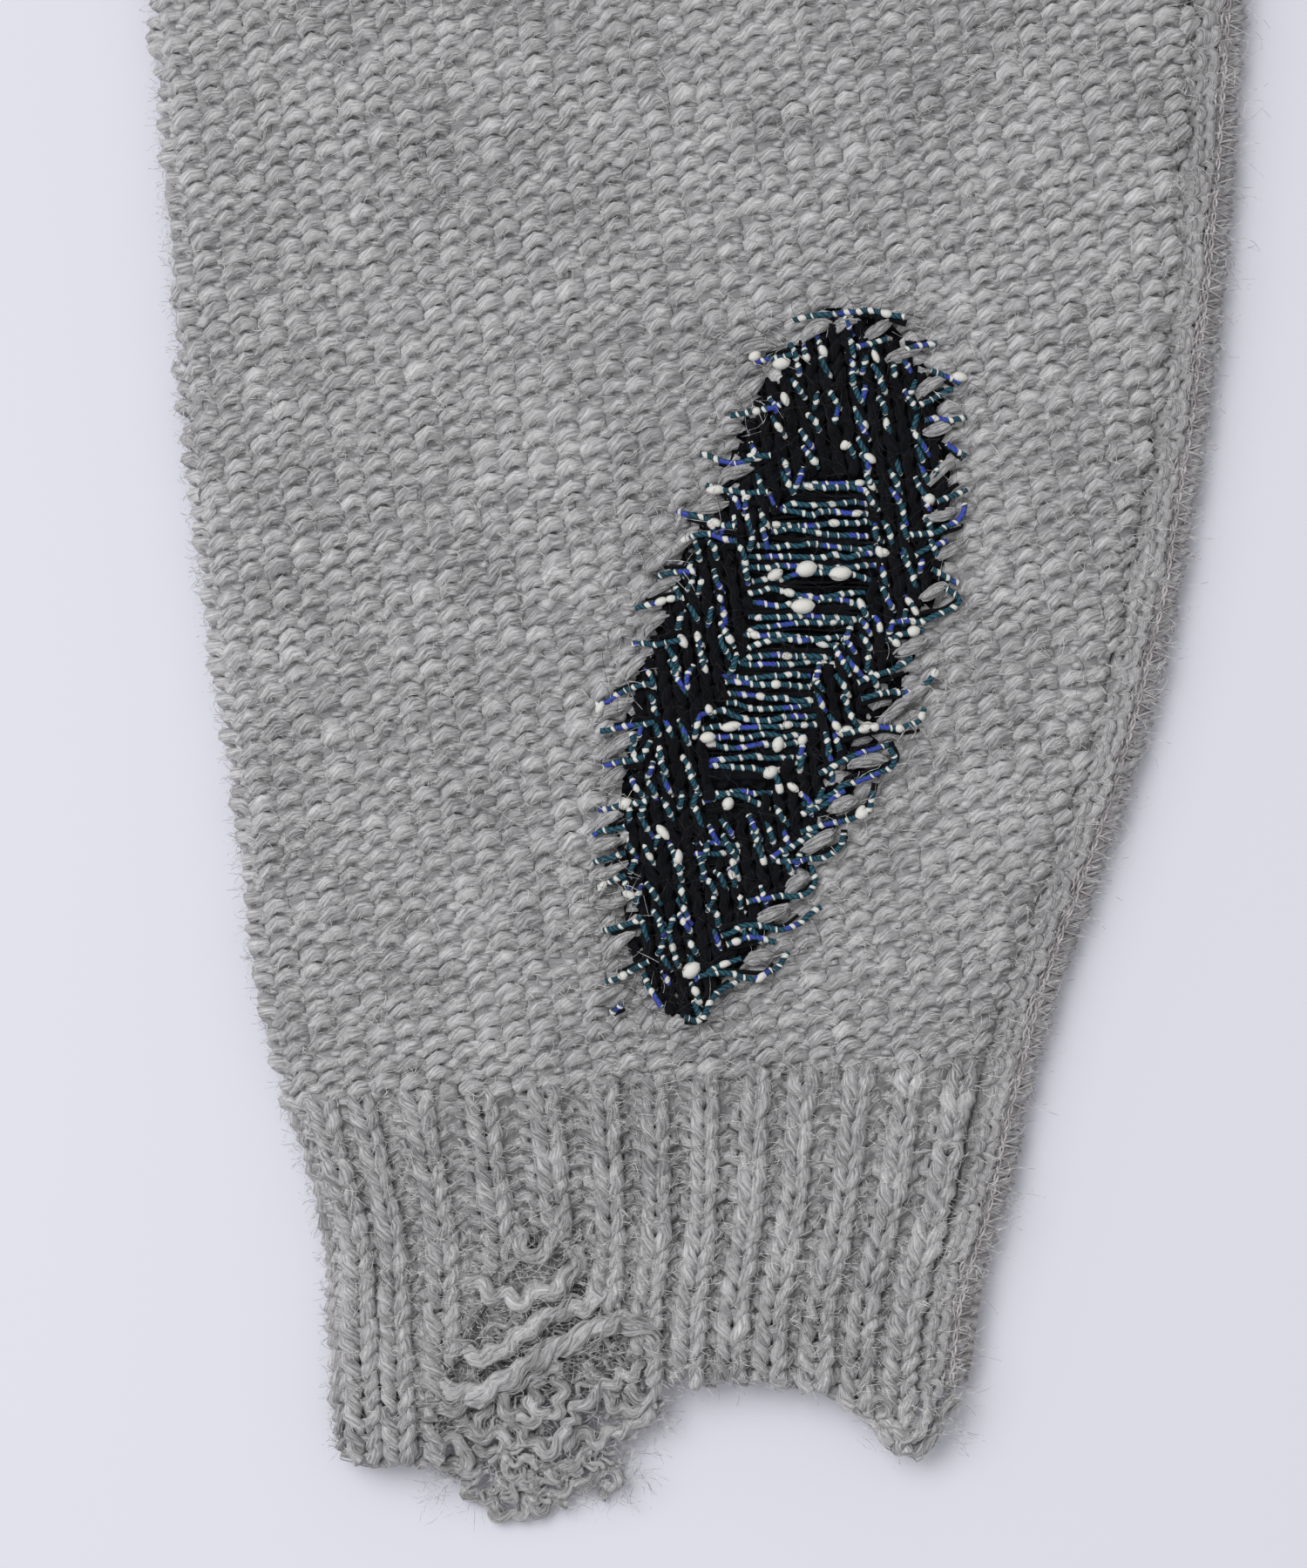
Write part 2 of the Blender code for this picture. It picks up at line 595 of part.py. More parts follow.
def main():
    """Clear the scene and build the sweater."""
    for old in list(bpy.data.objects):
        bpy.data.objects.remove(old)
    scene = bpy.context.scene
    scene.unit_settings.scale_length = 1
    collection = bpy.data.collections.new("darned_wool_sweater")
    cutters = bpy.data.collections.new("cutters")
    for made in (collection, cutters):
        scene.collection.children.link(made)
    wool = material("grey_wool", WOOL, 0.95)
    thread = material("overlock_thread", SEWING_THREAD, 0.9)
    darning = material("darning_yarn", DARNING_WOOL, 0.9)

    body_panel("back", BACK_NECK_DROP, WALL, False, collection, wool)
    body_panel("front", FRONT_NECK_DROP, FRONT_TOP, True, collection, wool)
    hem("hem_back", WALL, collection, wool)
    hem("hem_front", FRONT_TOP, collection, wool)
    neckband(collection, wool)
    for side in SIDES:
        sleeve(side, collection, wool)
        ribbed = cuff(side, side == "right", collection, wool)
        if side == "right":
            cut_run(ribbed, cutters, wool)
        sleeve_seam(side, collection, thread)
        side_seam(side, collection, thread)
        shoulder_seam(side, collection, thread)
        armhole_seam(side, collection, thread)
    darn_patch(collection, darning)
    for number, row in enumerate(LOOSE_STRANDS, 1):
        loose_strand(number, row, collection, wool)
    prism("cuff_fray", FRAY_OUTLINE, 0, FRAY_THICKNESS, collection, wool)


main()
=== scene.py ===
"""The looks of a darned wool sweater, laid flat and face up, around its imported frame.

The sweater lies inside out: reverse stockinette with exposed overlocked seams. Where the camera is close, on
the end of the wearer's right sleeve, every stitch is a loop of yarn. Elsewhere the cloth is a thin shell with
the same stitches in its finish. Metres, +Z up, +Y towards the neck, +X towards the wearer's left. Tables of
places are in millimetres.
"""

import json
import logging
import math
from dataclasses import dataclass, field
from enum import Enum
from typing import Callable, Sequence

import bmesh
import bpy
import numpy as np
from bpy.types import ID, Light, Material, Mesh, NodeSocket, NodeTree, Object
from mathutils import Vector
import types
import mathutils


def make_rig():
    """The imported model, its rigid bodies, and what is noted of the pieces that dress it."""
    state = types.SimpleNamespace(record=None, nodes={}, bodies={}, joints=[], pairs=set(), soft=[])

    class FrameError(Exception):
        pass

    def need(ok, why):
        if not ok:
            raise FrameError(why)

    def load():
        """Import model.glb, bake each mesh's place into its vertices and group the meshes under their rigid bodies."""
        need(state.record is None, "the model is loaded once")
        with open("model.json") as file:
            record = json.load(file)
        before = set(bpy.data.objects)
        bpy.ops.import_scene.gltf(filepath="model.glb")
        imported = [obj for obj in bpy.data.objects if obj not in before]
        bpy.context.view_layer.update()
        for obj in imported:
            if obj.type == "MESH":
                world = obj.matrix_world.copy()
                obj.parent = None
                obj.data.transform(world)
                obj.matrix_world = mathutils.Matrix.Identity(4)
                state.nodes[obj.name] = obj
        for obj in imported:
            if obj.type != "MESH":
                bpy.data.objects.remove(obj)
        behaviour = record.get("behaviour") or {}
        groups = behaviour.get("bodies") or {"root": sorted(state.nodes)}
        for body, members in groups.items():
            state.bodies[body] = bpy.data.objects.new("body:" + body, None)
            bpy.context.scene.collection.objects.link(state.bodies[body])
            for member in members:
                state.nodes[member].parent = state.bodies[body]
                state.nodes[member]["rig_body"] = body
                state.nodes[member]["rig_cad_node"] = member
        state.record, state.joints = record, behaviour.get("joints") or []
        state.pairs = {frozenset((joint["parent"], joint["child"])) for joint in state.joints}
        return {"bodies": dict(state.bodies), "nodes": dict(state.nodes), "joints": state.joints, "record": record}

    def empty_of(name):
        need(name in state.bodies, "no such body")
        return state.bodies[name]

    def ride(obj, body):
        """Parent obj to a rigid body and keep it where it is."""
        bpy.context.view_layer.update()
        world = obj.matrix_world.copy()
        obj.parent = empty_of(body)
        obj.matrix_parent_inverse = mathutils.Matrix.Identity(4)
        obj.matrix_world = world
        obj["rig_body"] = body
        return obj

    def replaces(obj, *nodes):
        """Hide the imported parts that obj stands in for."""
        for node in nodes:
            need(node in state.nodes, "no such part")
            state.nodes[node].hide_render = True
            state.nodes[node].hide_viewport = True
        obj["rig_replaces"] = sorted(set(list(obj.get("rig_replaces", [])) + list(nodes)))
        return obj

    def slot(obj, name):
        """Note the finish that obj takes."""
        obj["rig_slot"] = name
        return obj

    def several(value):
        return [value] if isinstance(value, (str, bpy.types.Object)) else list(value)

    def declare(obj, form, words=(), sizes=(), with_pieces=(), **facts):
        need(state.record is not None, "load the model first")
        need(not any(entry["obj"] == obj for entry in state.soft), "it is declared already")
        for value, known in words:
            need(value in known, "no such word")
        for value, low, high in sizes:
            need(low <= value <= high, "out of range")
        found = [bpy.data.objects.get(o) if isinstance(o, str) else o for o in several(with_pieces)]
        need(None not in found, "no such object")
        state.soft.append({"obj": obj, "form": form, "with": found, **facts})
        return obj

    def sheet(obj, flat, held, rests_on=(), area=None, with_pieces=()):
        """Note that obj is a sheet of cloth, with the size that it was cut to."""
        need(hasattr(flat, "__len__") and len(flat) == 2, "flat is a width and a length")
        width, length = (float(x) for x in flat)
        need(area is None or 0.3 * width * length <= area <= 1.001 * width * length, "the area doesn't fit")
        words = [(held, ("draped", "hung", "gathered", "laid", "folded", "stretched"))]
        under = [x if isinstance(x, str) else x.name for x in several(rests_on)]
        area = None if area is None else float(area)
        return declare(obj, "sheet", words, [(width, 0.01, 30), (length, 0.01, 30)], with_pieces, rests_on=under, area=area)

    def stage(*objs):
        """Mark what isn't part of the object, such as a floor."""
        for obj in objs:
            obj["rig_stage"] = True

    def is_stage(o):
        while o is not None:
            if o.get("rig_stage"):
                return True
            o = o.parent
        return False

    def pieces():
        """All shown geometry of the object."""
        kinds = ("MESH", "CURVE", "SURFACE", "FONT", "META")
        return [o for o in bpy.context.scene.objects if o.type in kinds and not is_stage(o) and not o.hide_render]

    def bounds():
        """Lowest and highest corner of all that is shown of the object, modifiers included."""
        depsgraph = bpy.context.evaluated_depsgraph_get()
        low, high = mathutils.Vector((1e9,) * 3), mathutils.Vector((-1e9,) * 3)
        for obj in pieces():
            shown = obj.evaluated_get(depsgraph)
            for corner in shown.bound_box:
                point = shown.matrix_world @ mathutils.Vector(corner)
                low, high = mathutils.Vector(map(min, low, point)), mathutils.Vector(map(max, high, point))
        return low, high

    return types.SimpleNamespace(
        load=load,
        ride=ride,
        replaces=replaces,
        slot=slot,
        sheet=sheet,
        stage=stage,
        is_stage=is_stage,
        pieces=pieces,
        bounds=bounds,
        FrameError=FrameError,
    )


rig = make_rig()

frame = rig.load()
CAD_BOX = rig.bounds()

MM = 0.001
TURN = 2 * math.pi
LOG = logging.getLogger("sweater")
Array = np.ndarray
Rng = np.random.Generator

# Cloth and yarn. A stitch and a course are steps of (across, along) on the sleeve.
WALL = 3.6 * MM
TUBE_HEIGHT = 8.4 * MM
TUBE_ROUND = TUBE_HEIGHT / 2
YARN_RADIUS = 1.02 * MM
STITCH = (4.65 * MM, 0.75 * MM)
COURSE = (-0.45 * MM, 3.0 * MM)
RIB = 8.3 * MM
RIB_ROW = 3.1 * MM
CUFF_RIBS = 13
SERGED_STITCH = 2.2 * MM

# The sleeve's own places: "along" runs from the cuff's worn edge to the shoulder, "across" from the sleeve's
# middle to the body. The loops of yarn end in the span over which the cloth gets its full thickness again.
SLEEVE_SPLAY = math.radians(35)
UNDERARM = (-285 * MM, 85 * MM)
UNDERARM_PLACE = (105 * MM, 440 * MM)
LOOPS_END = (238 * MM, 274 * MM)


class Side(Enum):
    """The wearer's sides, with the sign of X on each."""

    RIGHT = -1
    LEFT = 1


def in_metres(rows: Sequence[tuple[float, ...]]) -> Array:
    """Return a table of millimetres in metres."""
    return np.array(rows, float) * MM


def smooth_table(rows: Sequence[tuple[float, float]] | Array, at: Array) -> Array:
    """Read a smooth curve through a table's rows.

    Args:
        rows: (place, value) rows in rising order of place.
        at: the places to read.

    Returns:
        The values there, held level beyond both ends.
    """
    places, values = np.array(rows, float).T
    slopes = np.gradient(values, places)
    at = np.clip(at, places[0], places[-1])
    index = np.clip(np.searchsorted(places, at) - 1, 0, len(places) - 2)
    step = places[index + 1] - places[index]
    share = (at - places[index]) / step
    square, cube = share**2, share**3
    return (
        (2 * cube - 3 * square + 1) * values[index]
        + (cube - 2 * square + share) * step * slopes[index]
        + (3 * square - 2 * cube) * values[index + 1]
        + (cube - square) * step * slopes[index + 1]
    )


@dataclass(frozen=True)
class SleeveMap:
    """Turns a sleeve's own places into places on the laid sweater.

    Attributes:
        side: the wearer's side that the sleeve is on.
        fold_edge: (along, across) rows of the folded edge.
        seam_edge: (along, across) rows of the seam.
    """

    side: Side = Side.RIGHT
    fold_edge: tuple = (
        (-14, -54.6), (0, -55.4), (15, -56.2), (24, -56.6), (33, -58.8), (42, -61.4), (51, -63.9),
        (69, -68.6), (88, -70.9), (105, -72.8), (145, -78.8), (180, -82.3), (240, -86.7), (320, -92.0),
    )
    seam_edge: tuple = (
        (-13, 45.0), (0, 46.0), (15, 47.6), (33, 53.0), (51, 56.8), (69, 61.6), (88, 68.4), (115, 77.2),
        (145, 83.8), (180, 89.8), (240, 94.3), (320, 98.0),
    )

    def fold(self, along: Array) -> Array:
        """Return how far across the folded edge lies."""
        return smooth_table(in_metres(self.fold_edge), along)

    def seam(self, along: Array) -> Array:
        """Return how far across the seam lies."""
        return smooth_table(in_metres(self.seam_edge), along)

    def lay(self, across: Array, along: Array, height: Array) -> Array:
        """Return flat places as world points at these heights above the table."""
        across = np.asarray(across) - UNDERARM_PLACE[0]
        along = np.asarray(along) - UNDERARM_PLACE[1]
        cos, sin = math.cos(SLEEVE_SPLAY), math.sin(SLEEVE_SPLAY)
        x = UNDERARM[0] + across * cos + along * sin
        y = UNDERARM[1] - across * sin + along * cos
        return np.stack([-self.side.value * x, y, np.broadcast_to(height, x.shape)], -1)

    def lay_path(self, path: Array) -> Array:
        """Return (across, along, height) rows as world points."""
        return self.lay(*path.T)

    def unlay(self, points: Array) -> tuple[Array, Array]:
        """Return the (across, along) of world points."""
        x = -self.side.value * points[:, 0] - UNDERARM[0]
        y = points[:, 1] - UNDERARM[1]
        cos, sin = math.cos(SLEEVE_SPLAY), math.sin(SLEEVE_SPLAY)
        return UNDERARM_PLACE[0] + x * cos - y * sin, UNDERARM_PLACE[1] + x * sin + y * cos

    def stitches(self, points: Array) -> Array:
        """Return world points as (stitches, courses)."""
        return np.stack(self.unlay(points), -1) @ np.linalg.inv((STITCH, COURSE))

    def ribs(self, points: Array) -> Array:
        """Return world points on the cuff as (ribs, rows)."""
        across, along = self.unlay(points)
        portion = (across - self.fold(along)) / (self.seam(along) - self.fold(along))
        return np.stack([portion * CUFF_RIBS, along / RIB_ROW], -1)

    def wrap(self, across: Array, along: Array, lift: Array) -> Array:
        """Return cloth places as world points, round the sleeve's fold and down into its seam.

        Args:
            across: places across the flattened cloth, which may pass the sleeve's edges.
            along: places along the sleeve.
            lift: how far each point stands off the middle of the wall, outwards.

        Returns:
            World points, one row each.
        """
        middle = TUBE_ROUND - WALL / 2
        turned = across.copy()
        height = TUBE_ROUND + middle + lift
        for edge, way in ((self.fold(along), -1), (self.seam(along), 1)):
            centre = edge - way * TUBE_ROUND
            beyond = way * (across - centre)
            angle = np.clip(beyond, 0, None) / (middle + YARN_RADIUS)
            round_it = beyond > 0
            turned = np.where(round_it, centre + way * (middle + lift) * np.sin(angle), turned)
            height = np.where(round_it, TUBE_ROUND + (middle + lift) * np.cos(angle), height)
        return self.lay(turned, along, height)


@dataclass(frozen=True)
class Crease:
    """A soft ridge in the upper layer, from start to end, which fades at both ends and wavers on its way.

    Attributes:
        start, end: the places of its ends.
        half_width: how far the ridge reaches on each side.
        height: how far it lifts the cloth at its middle.
        waver: how far its line sways, in half widths.
        waves: how fast it sways, in radians from end to end.
        stagger: gives ridges of different widths different phases.
    """

    start: tuple[float, float]
    end: tuple[float, float]
    half_width: float
    height: float
    waver: float = 0.25
    waves: float = 7
    stagger: float = 900

    def lift(self, places: Array) -> Array:
        """Return how far the crease lifts the cloth at these flat places."""
        run = np.subtract(self.end, self.start)
        share = (places - self.start) @ run / (run @ run)
        middle = self.start + share[:, None] * run
        away = np.linalg.norm(places - middle, axis=1) / self.half_width
        bent = away + self.waver * np.sin(share * self.waves + self.half_width * self.stagger)
        on = (share > 0) & (share < 1) & (np.abs(bent) < 1)
        return np.where(on, self.height * np.sin(math.pi * share) * (1 + np.cos(math.pi * bent)) / 2, 0)


CREASES = tuple(
    Crease((x * MM, y * MM), (end_x * MM, end_y * MM), half_width * MM, height * MM)
    for x, y, end_x, end_y, half_width, height in (
        (-262, -20, -120, 60, 15, 2.4), (-230, -110, -60, -60, 12, 1.6), (-205, 95, -95, 205, 13, 2.1),
        (-40, -200, 10, -20, 14, 1.8), (60, -255, 110, -110, 11, 1.5), (255, 0, 150, 70, 13, 2.2),
        (215, 85, 120, 200, 15, 2.0), (235, -130, 90, -70, 12, 1.7), (-160, 230, -105, 285, 10, 1.4),
        (90, 225, 165, 285, 11, 1.4), (-310, 120, -365, 190, 12, 1.9), (-350, 60, -420, 130, 13, 2.0),
        (-275, 150, -325, 225, 11, 1.5), (300, 125, 355, 205, 13, 2.1), (345, 60, 425, 120, 12, 1.8),
        (430, -20, 520, 20, 13, 1.9), (480, -95, 570, -75, 11, 1.3),
    )
)


def crease_lift(places: Array) -> Array:
    """Return how far all the creases lift the upper layer at these flat places."""
    return sum(crease.lift(places) for crease in CREASES)


class Knitting(Enum):
    """What a piece shows: the knitting's wrong side, its ribs, an overlocked edge, or a darn's ground."""

    PURL = "purl"
    RIB = "rib"
    SERGED = "serged"
    DARNED = "darned"


@dataclass
class Shell:
    """One cut piece of the sweater: its solid's own form made fine, creased and finished as knitting.

    Attributes:
        node: the solid that the piece stands for.
        knitting: what its face shows.
        stitches: turns points into (stitches, courses), the piece's UV map.
        turn: the angle of its courses from +X.
        spacing: the grid over it, across and along.
        shape: moves the finished points, if the piece needs it.
        ring: the stitches round a closed band, where its UV map closes on itself.
        rim: the width of its rounded edges.
        top_below: how far below the upper layer's middle a point may lie and still be creased.
        rib_top: how far down from the highest point the ribs are raised.
        rib_height: how far a rib's column stands out from the gap beside it, halved.
    """

    node: str
    knitting: Knitting
    stitches: Callable[[Array], Array]
    turn: float = 0.0
    spacing: tuple[float, float] = (8 * MM, 8 * MM)
    shape: Callable[[Array], Array] | None = None
    ring: float | None = None
    rim: float = 1.3 * MM
    top_below: float = 0.6 * MM
    rib_top: float = 2.4 * MM
    rib_height: float = 0.8 * MM

    def build(self, finishes: dict[Knitting, Material]) -> Object:
        """Make the piece and let it stand for its solid."""
        bm = bmesh.new()
        bm.from_mesh(frame["nodes"][self.node].data)
        bmesh.ops.remove_doubles(bm, verts=bm.verts[:], dist=0.01 * MM)
        limits = {"angle_face_threshold": math.radians(12), "angle_shape_threshold": math.radians(120)}
        bmesh.ops.join_triangles(bm, faces=bm.faces[:], **limits)
        self._grid(bm, self.turn, self.spacing[0])
        self._grid(bm, self.turn + math.pi / 2, self.spacing[1])
        mesh = bpy.data.meshes.new(self.node + "_knit")
        bm.to_mesh(mesh)
        bm.free()
        self._lay_stitches(mesh)
        self._move(mesh)
        piece = self._dress(mesh, finishes[self.knitting])
        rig.replaces(piece, self.node)
        LOG.info("%s: %d faces", piece.name, len(mesh.polygons))
        return piece

    def _grid(self, bm: bmesh.types.BMesh, angle: float, spacing: float) -> None:
        """Cut the mesh with evenly spaced upright planes that face along this angle."""
        way = Vector((math.cos(angle), math.sin(angle), 0))
        reach = [vert.co.dot(way) for vert in bm.verts]
        for step in range(math.ceil(min(reach) / spacing), math.ceil(max(reach) / spacing)):
            everything = bm.verts[:] + bm.edges[:] + bm.faces[:]
            place = way * step * spacing
            bmesh.ops.bisect_plane(bm, geom=everything, dist=0.05 * MM, plane_co=place, plane_no=way)

    def _lay_stitches(self, mesh: Mesh) -> None:
        """Give the mesh its UV map, counted in stitches and courses."""
        points = read_points(mesh)
        corner = np.empty(len(mesh.loops), np.int32)
        mesh.loops.foreach_get("vertex_index", corner)
        uv = self.stitches(points)[corner]
        if self.ring:
            starts = [face.loop_start for face in mesh.polygons]
            first = np.repeat(starts, [face.loop_total for face in mesh.polygons])
            uv[:, 0] += np.round((uv[first, 0] - uv[:, 0]) / self.ring) * self.ring
        while mesh.uv_layers:
            mesh.uv_layers.remove(mesh.uv_layers[0])
        mesh.uv_layers.new(name="UVMap").data.foreach_set("uv", uv.astype(np.float32).ravel())

    def _move(self, mesh: Mesh) -> None:
        """Crease the upper layer, raise the ribs and apply the piece's own shape."""
        points = read_points(mesh)
        upper = points[:, 2] > TUBE_ROUND - self.top_below
        points[:, 2] += np.where(upper, crease_lift(points[:, :2]), 0)
        if self.knitting is Knitting.RIB:
            top = points[:, 2] > points[:, 2].max() - self.rib_top
            column = np.cos(TURN * self.stitches(points)[:, 0])
            points[:, 2] += np.where(top, self.rib_height * (column - 0.4), 0)
        if self.shape:
            points = self.shape(points)
        mesh.vertices.foreach_set("co", points.astype(np.float32).ravel())

    def _dress(self, mesh: Mesh, finish: Material) -> Object:
        """Return the mesh as an object with a soft rim and its finish."""
        mesh.shade_smooth()
        mesh.materials.append(finish)
        piece = put(self.node + "_knit", mesh)
        rim = piece.modifiers.new("soft_rim", "BEVEL")
        rim.width, rim.segments, rim.limit_method = self.rim, 2, "ANGLE"
        rim.angle_limit = math.radians(50)
        return piece


def put(name: str, data: ID) -> Object:
    """Return a new object of this data, in the scene."""
    made = bpy.data.objects.new(name, data)
    bpy.context.scene.collection.objects.link(made)
    return made


def read_points(mesh: Mesh) -> Array:
    """Return a mesh's points, one row each."""
    flat = np.empty(len(mesh.vertices) * 3, np.float32)
    mesh.vertices.foreach_get("co", flat)
    return flat.reshape(-1, 3).astype(float)


def smooth_noise(rng: Rng, size: int, reach: int) -> Array:
    """Return size values of smooth noise around 0, about 1 high, that change over reach steps."""
    knots = rng.normal(size=size // reach + 3)
    at = np.arange(size) / reach
    low = at.astype(int)
    share = (1 - np.cos((at - low) * math.pi)) / 2
    return knots[low] * (1 - share) + knots[low + 1] * share


def through(points: Sequence[tuple[float, ...]], step: float) -> Array:
    """Return a smooth curve through given points, with a point every step or so."""
    points = np.array(points, float)
    reach = lengths_of(points)
    at = np.linspace(0, reach[-1], max(3, int(reach[-1] / step) + 1))
    return np.stack([smooth_table(np.c_[reach, values], at) for values in points.T], -1)


def lengths_of(points: Array) -> Array:
    """Return how far along the line each of its points lies."""
    return np.r_[0, np.cumsum(np.linalg.norm(np.diff(points, axis=0), axis=1))]


@dataclass
class YarnBundle:
    """Many lengths of yarn that become one piece, each a row of points with a radius and a U at each point.

    Attributes:
        name: the piece's name.
        ribbon: whether the lengths are flat ribbons, not tubes.
        resolution: tubes have 4 + 2 x resolution sides.
        clearance: the least room between a length and the floor.
        lengths: the (points, radius, marks) of each length.
    """

    name: str
    ribbon: bool = False
    resolution: int = 1
    clearance: float = 0.05 * MM
    lengths: list[tuple[Array, Array, Array]] = field(default_factory=list)

    def add(self, points: Array, radius: Array | float, marks: Array | None = None) -> None:
        """Add one length of yarn.

        Args:
            points: its middle, as world points, which are lifted clear of the floor.
            radius: its radius, or the radius at each point.
            marks: the U of each point, or else its distance along in millimetres.
        """
        if len(points) > 1:
            points = points.copy()
            points[:, 2] = np.maximum(points[:, 2], radius + self.clearance)
            marks = lengths_of(points) / MM if marks is None else marks
            self.lengths.append((points, np.broadcast_to(radius, len(points)), marks))

    def build(self, finish: Material) -> Object:
        """Return the lengths as one mesh object with a UV map, whose V runs once round each length."""
        data = bpy.data.curves.new(self.name, "CURVE")
        data.dimensions = "3D"
        if self.ribbon:
            data.extrude = 1
        else:
            data.bevel_depth = 1
            data.bevel_resolution = self.resolution
            data.use_fill_caps = True
        for points, radius, _ in self.lengths:
            count = len(points)
            spline = data.splines.new("POLY")
            spline.points.add(count - 1)
            spline.points.foreach_set("co", np.c_[points, np.ones(count)].ravel())
            spline.points.foreach_set("radius", np.ascontiguousarray(radius, float))
            if self.ribbon:
                spline.points.foreach_set("tilt", np.full(count, math.pi / 2))
        holder = put(self.name, data)
        graph = bpy.context.evaluated_depsgraph_get()
        mesh = bpy.data.meshes.new_from_object(holder.evaluated_get(graph))
        bpy.data.objects.remove(holder)
        bpy.data.curves.remove(data)
        if not self.ribbon:
            self._mark(mesh)
        mesh.name = self.name
        mesh.materials.clear()
        mesh.materials.append(finish)
        piece = put(self.name, mesh)
        LOG.info("%s: %d lengths, %d faces", self.name, len(self.lengths), len(mesh.polygons))
        return piece

    def _mark(self, mesh: Mesh) -> None:
        """Turn each length's U, which runs from 0 to 1 along it, into its marks. The end caps come first."""
        corners = 4 * (4 + 2 * self.resolution)
        layer = mesh.uv_layers[0].data
        uv = np.empty(len(mesh.loops) * 2, np.float32)
        layer.foreach_get("uv", uv)
        uv = uv.reshape(-1, 2)
        start = len(uv) - sum(corners * (len(points) - 1) for points, _, _ in self.lengths)
        for points, _, marks in self.lengths:
            stop = start + corners * (len(points) - 1)
            uv[start:stop, 0] = np.interp(uv[start:stop, 0], np.linspace(0, 1, len(points)), marks)
            start = stop
        layer.foreach_set("uv", uv.ravel())


class Sock:
    """A shader socket or number that takes part in Python arithmetic."""

    def __init__(self, tree: NodeTree, value: NodeSocket | float | tuple) -> None:
        """Wrap a socket, a number or a colour in this tree."""
        self.tree, self.value = tree, value

    def _math(self, operation: str, other: "Sock | float", swap: bool = False) -> "Sock":
        """Return the Math node of this value and another, or of the two the other way round."""
        other = other.value if isinstance(other, Sock) else other
        values = (other, self.value) if swap else (self.value, other)
        return node(self.tree, "ShaderNodeMath", {"operation": operation}, dict(enumerate(values)))

    def __add__(self, other: "Sock | float") -> "Sock":
        """Return the sum."""
        return self._math("ADD", other)

    def __sub__(self, other: "Sock | float") -> "Sock":
        """Return the difference."""
        return self._math("SUBTRACT", other)

    def __rsub__(self, other: "Sock | float") -> "Sock":
        """Return a number less this value."""
        return self._math("SUBTRACT", other, True)

    def __mul__(self, other: "Sock | float") -> "Sock":
        """Return the product."""
        return self._math("MULTIPLY", other)

    def __pow__(self, other: "Sock | float") -> "Sock":
        """Return this value to a power."""
        return self._math("POWER", other)

    def __gt__(self, other: "Sock | float") -> "Sock":
        """Return 1 where this value is the greater, else 0."""
        return self._math("GREATER_THAN", other)

    __radd__ = __add__
    __rmul__ = __mul__

    def least(self, other: "Sock | float") -> "Sock":
        """Return this value, but at least the other."""
        return self._math("MAXIMUM", other)

    def cos(self) -> "Sock":
        """Return the cosine."""
        return self._math("COSINE", 0.0)

    def size(self) -> "Sock":
        """Return the value without its sign."""
        return self._math("ABSOLUTE", 0.0)

    def part(self) -> "Sock":
        """Return what is past the whole number below."""
        return self._math("FRACT", 0.0)


def node(tree: NodeTree, kind: str, settings: dict, values: dict, out: int | str = 0) -> Sock:
    """Add a node.

    Args:
        tree: the material's tree.
        kind: the node's type.
        settings: attributes set first, such as a Math node's operation.
        values: input name or number to a Sock or a plain value.
        out: the output to return.

    Returns:
        The wrapped output socket.
    """
    made = tree.nodes.new(kind)
    for name, value in settings.items():
        setattr(made, name, value)
    for name, value in values.items():
        value = value.value if isinstance(value, Sock) else value
        if isinstance(value, NodeSocket):
            tree.links.new(value, made.inputs[name])
        else:
            made.inputs[name].default_value = value
    return Sock(tree, made.outputs[out])


def mix(tree: NodeTree, share: Sock, first: Sock | tuple, second: Sock | tuple) -> Sock:
    """Return a Mix of two colours."""
    return node(tree, "ShaderNodeMix", {"data_type": "RGBA"}, {0: share, 6: first, 7: second}, 2)


def noise(tree: NodeTree, at: Sock, scale: float, detail: float, roughness: float = 0.5) -> Sock:
    """Return smooth noise at these places, around 0.5."""
    values = {"Vector": at, "Scale": scale, "Detail": detail, "Roughness": roughness}
    return node(tree, "ShaderNodeTexNoise", {}, values)


def spread(tree: NodeTree, value: Sock, low: float, high: float) -> Sock:
    """Return the value spread so that low becomes 0 and high becomes 1, and held there."""
    return node(tree, "ShaderNodeMapRange", {}, {0: value, 1: low, 2: high})


def stitch_map(tree: NodeTree) -> Sock:
    """Return the piece's own UV map."""
    return node(tree, "ShaderNodeUVMap", {"uv_map": "UVMap"}, {})


def split(tree: NodeTree, vector: Sock) -> tuple[Sock, Sock]:
    """Return a vector's first two numbers."""
    first = node(tree, "ShaderNodeSeparateXYZ", {}, {0: vector}, 0)
    return first, Sock(tree, first.value.node.outputs[1])


class Finish:
    """A new material, with its tree and its main shader."""

    def __init__(self, name: str, dull: float, gloss: float) -> None:
        """Make the material, with its shader's roughness and specular level."""
        self.made = bpy.data.materials.new(name)
        self.made.use_nodes = True
        self.tree = self.made.node_tree
        self.shader = self.tree.nodes["Principled BSDF"]
        self.set({"Roughness": dull, "Specular IOR Level": gloss})

    def set(self, values: dict[str, float | tuple]) -> None:
        """Set the shader's inputs."""
        for name, value in values.items():
            self.shader.inputs[name].default_value = value

    def wire(self, colour: Sock, height: Sock | None = None, distance: float = 0.0) -> Material:
        """Return the material with its colour linked, and a bump this deep from the height, if it has one."""
        self.tree.links.new(colour.value, self.shader.inputs["Base Color"])
        if height is not None:
            bump = node(self.tree, "ShaderNodeBump", {}, {"Height": height, "Distance": distance})
            self.tree.links.new(bump.value, self.shader.inputs["Normal"])
        return self.made


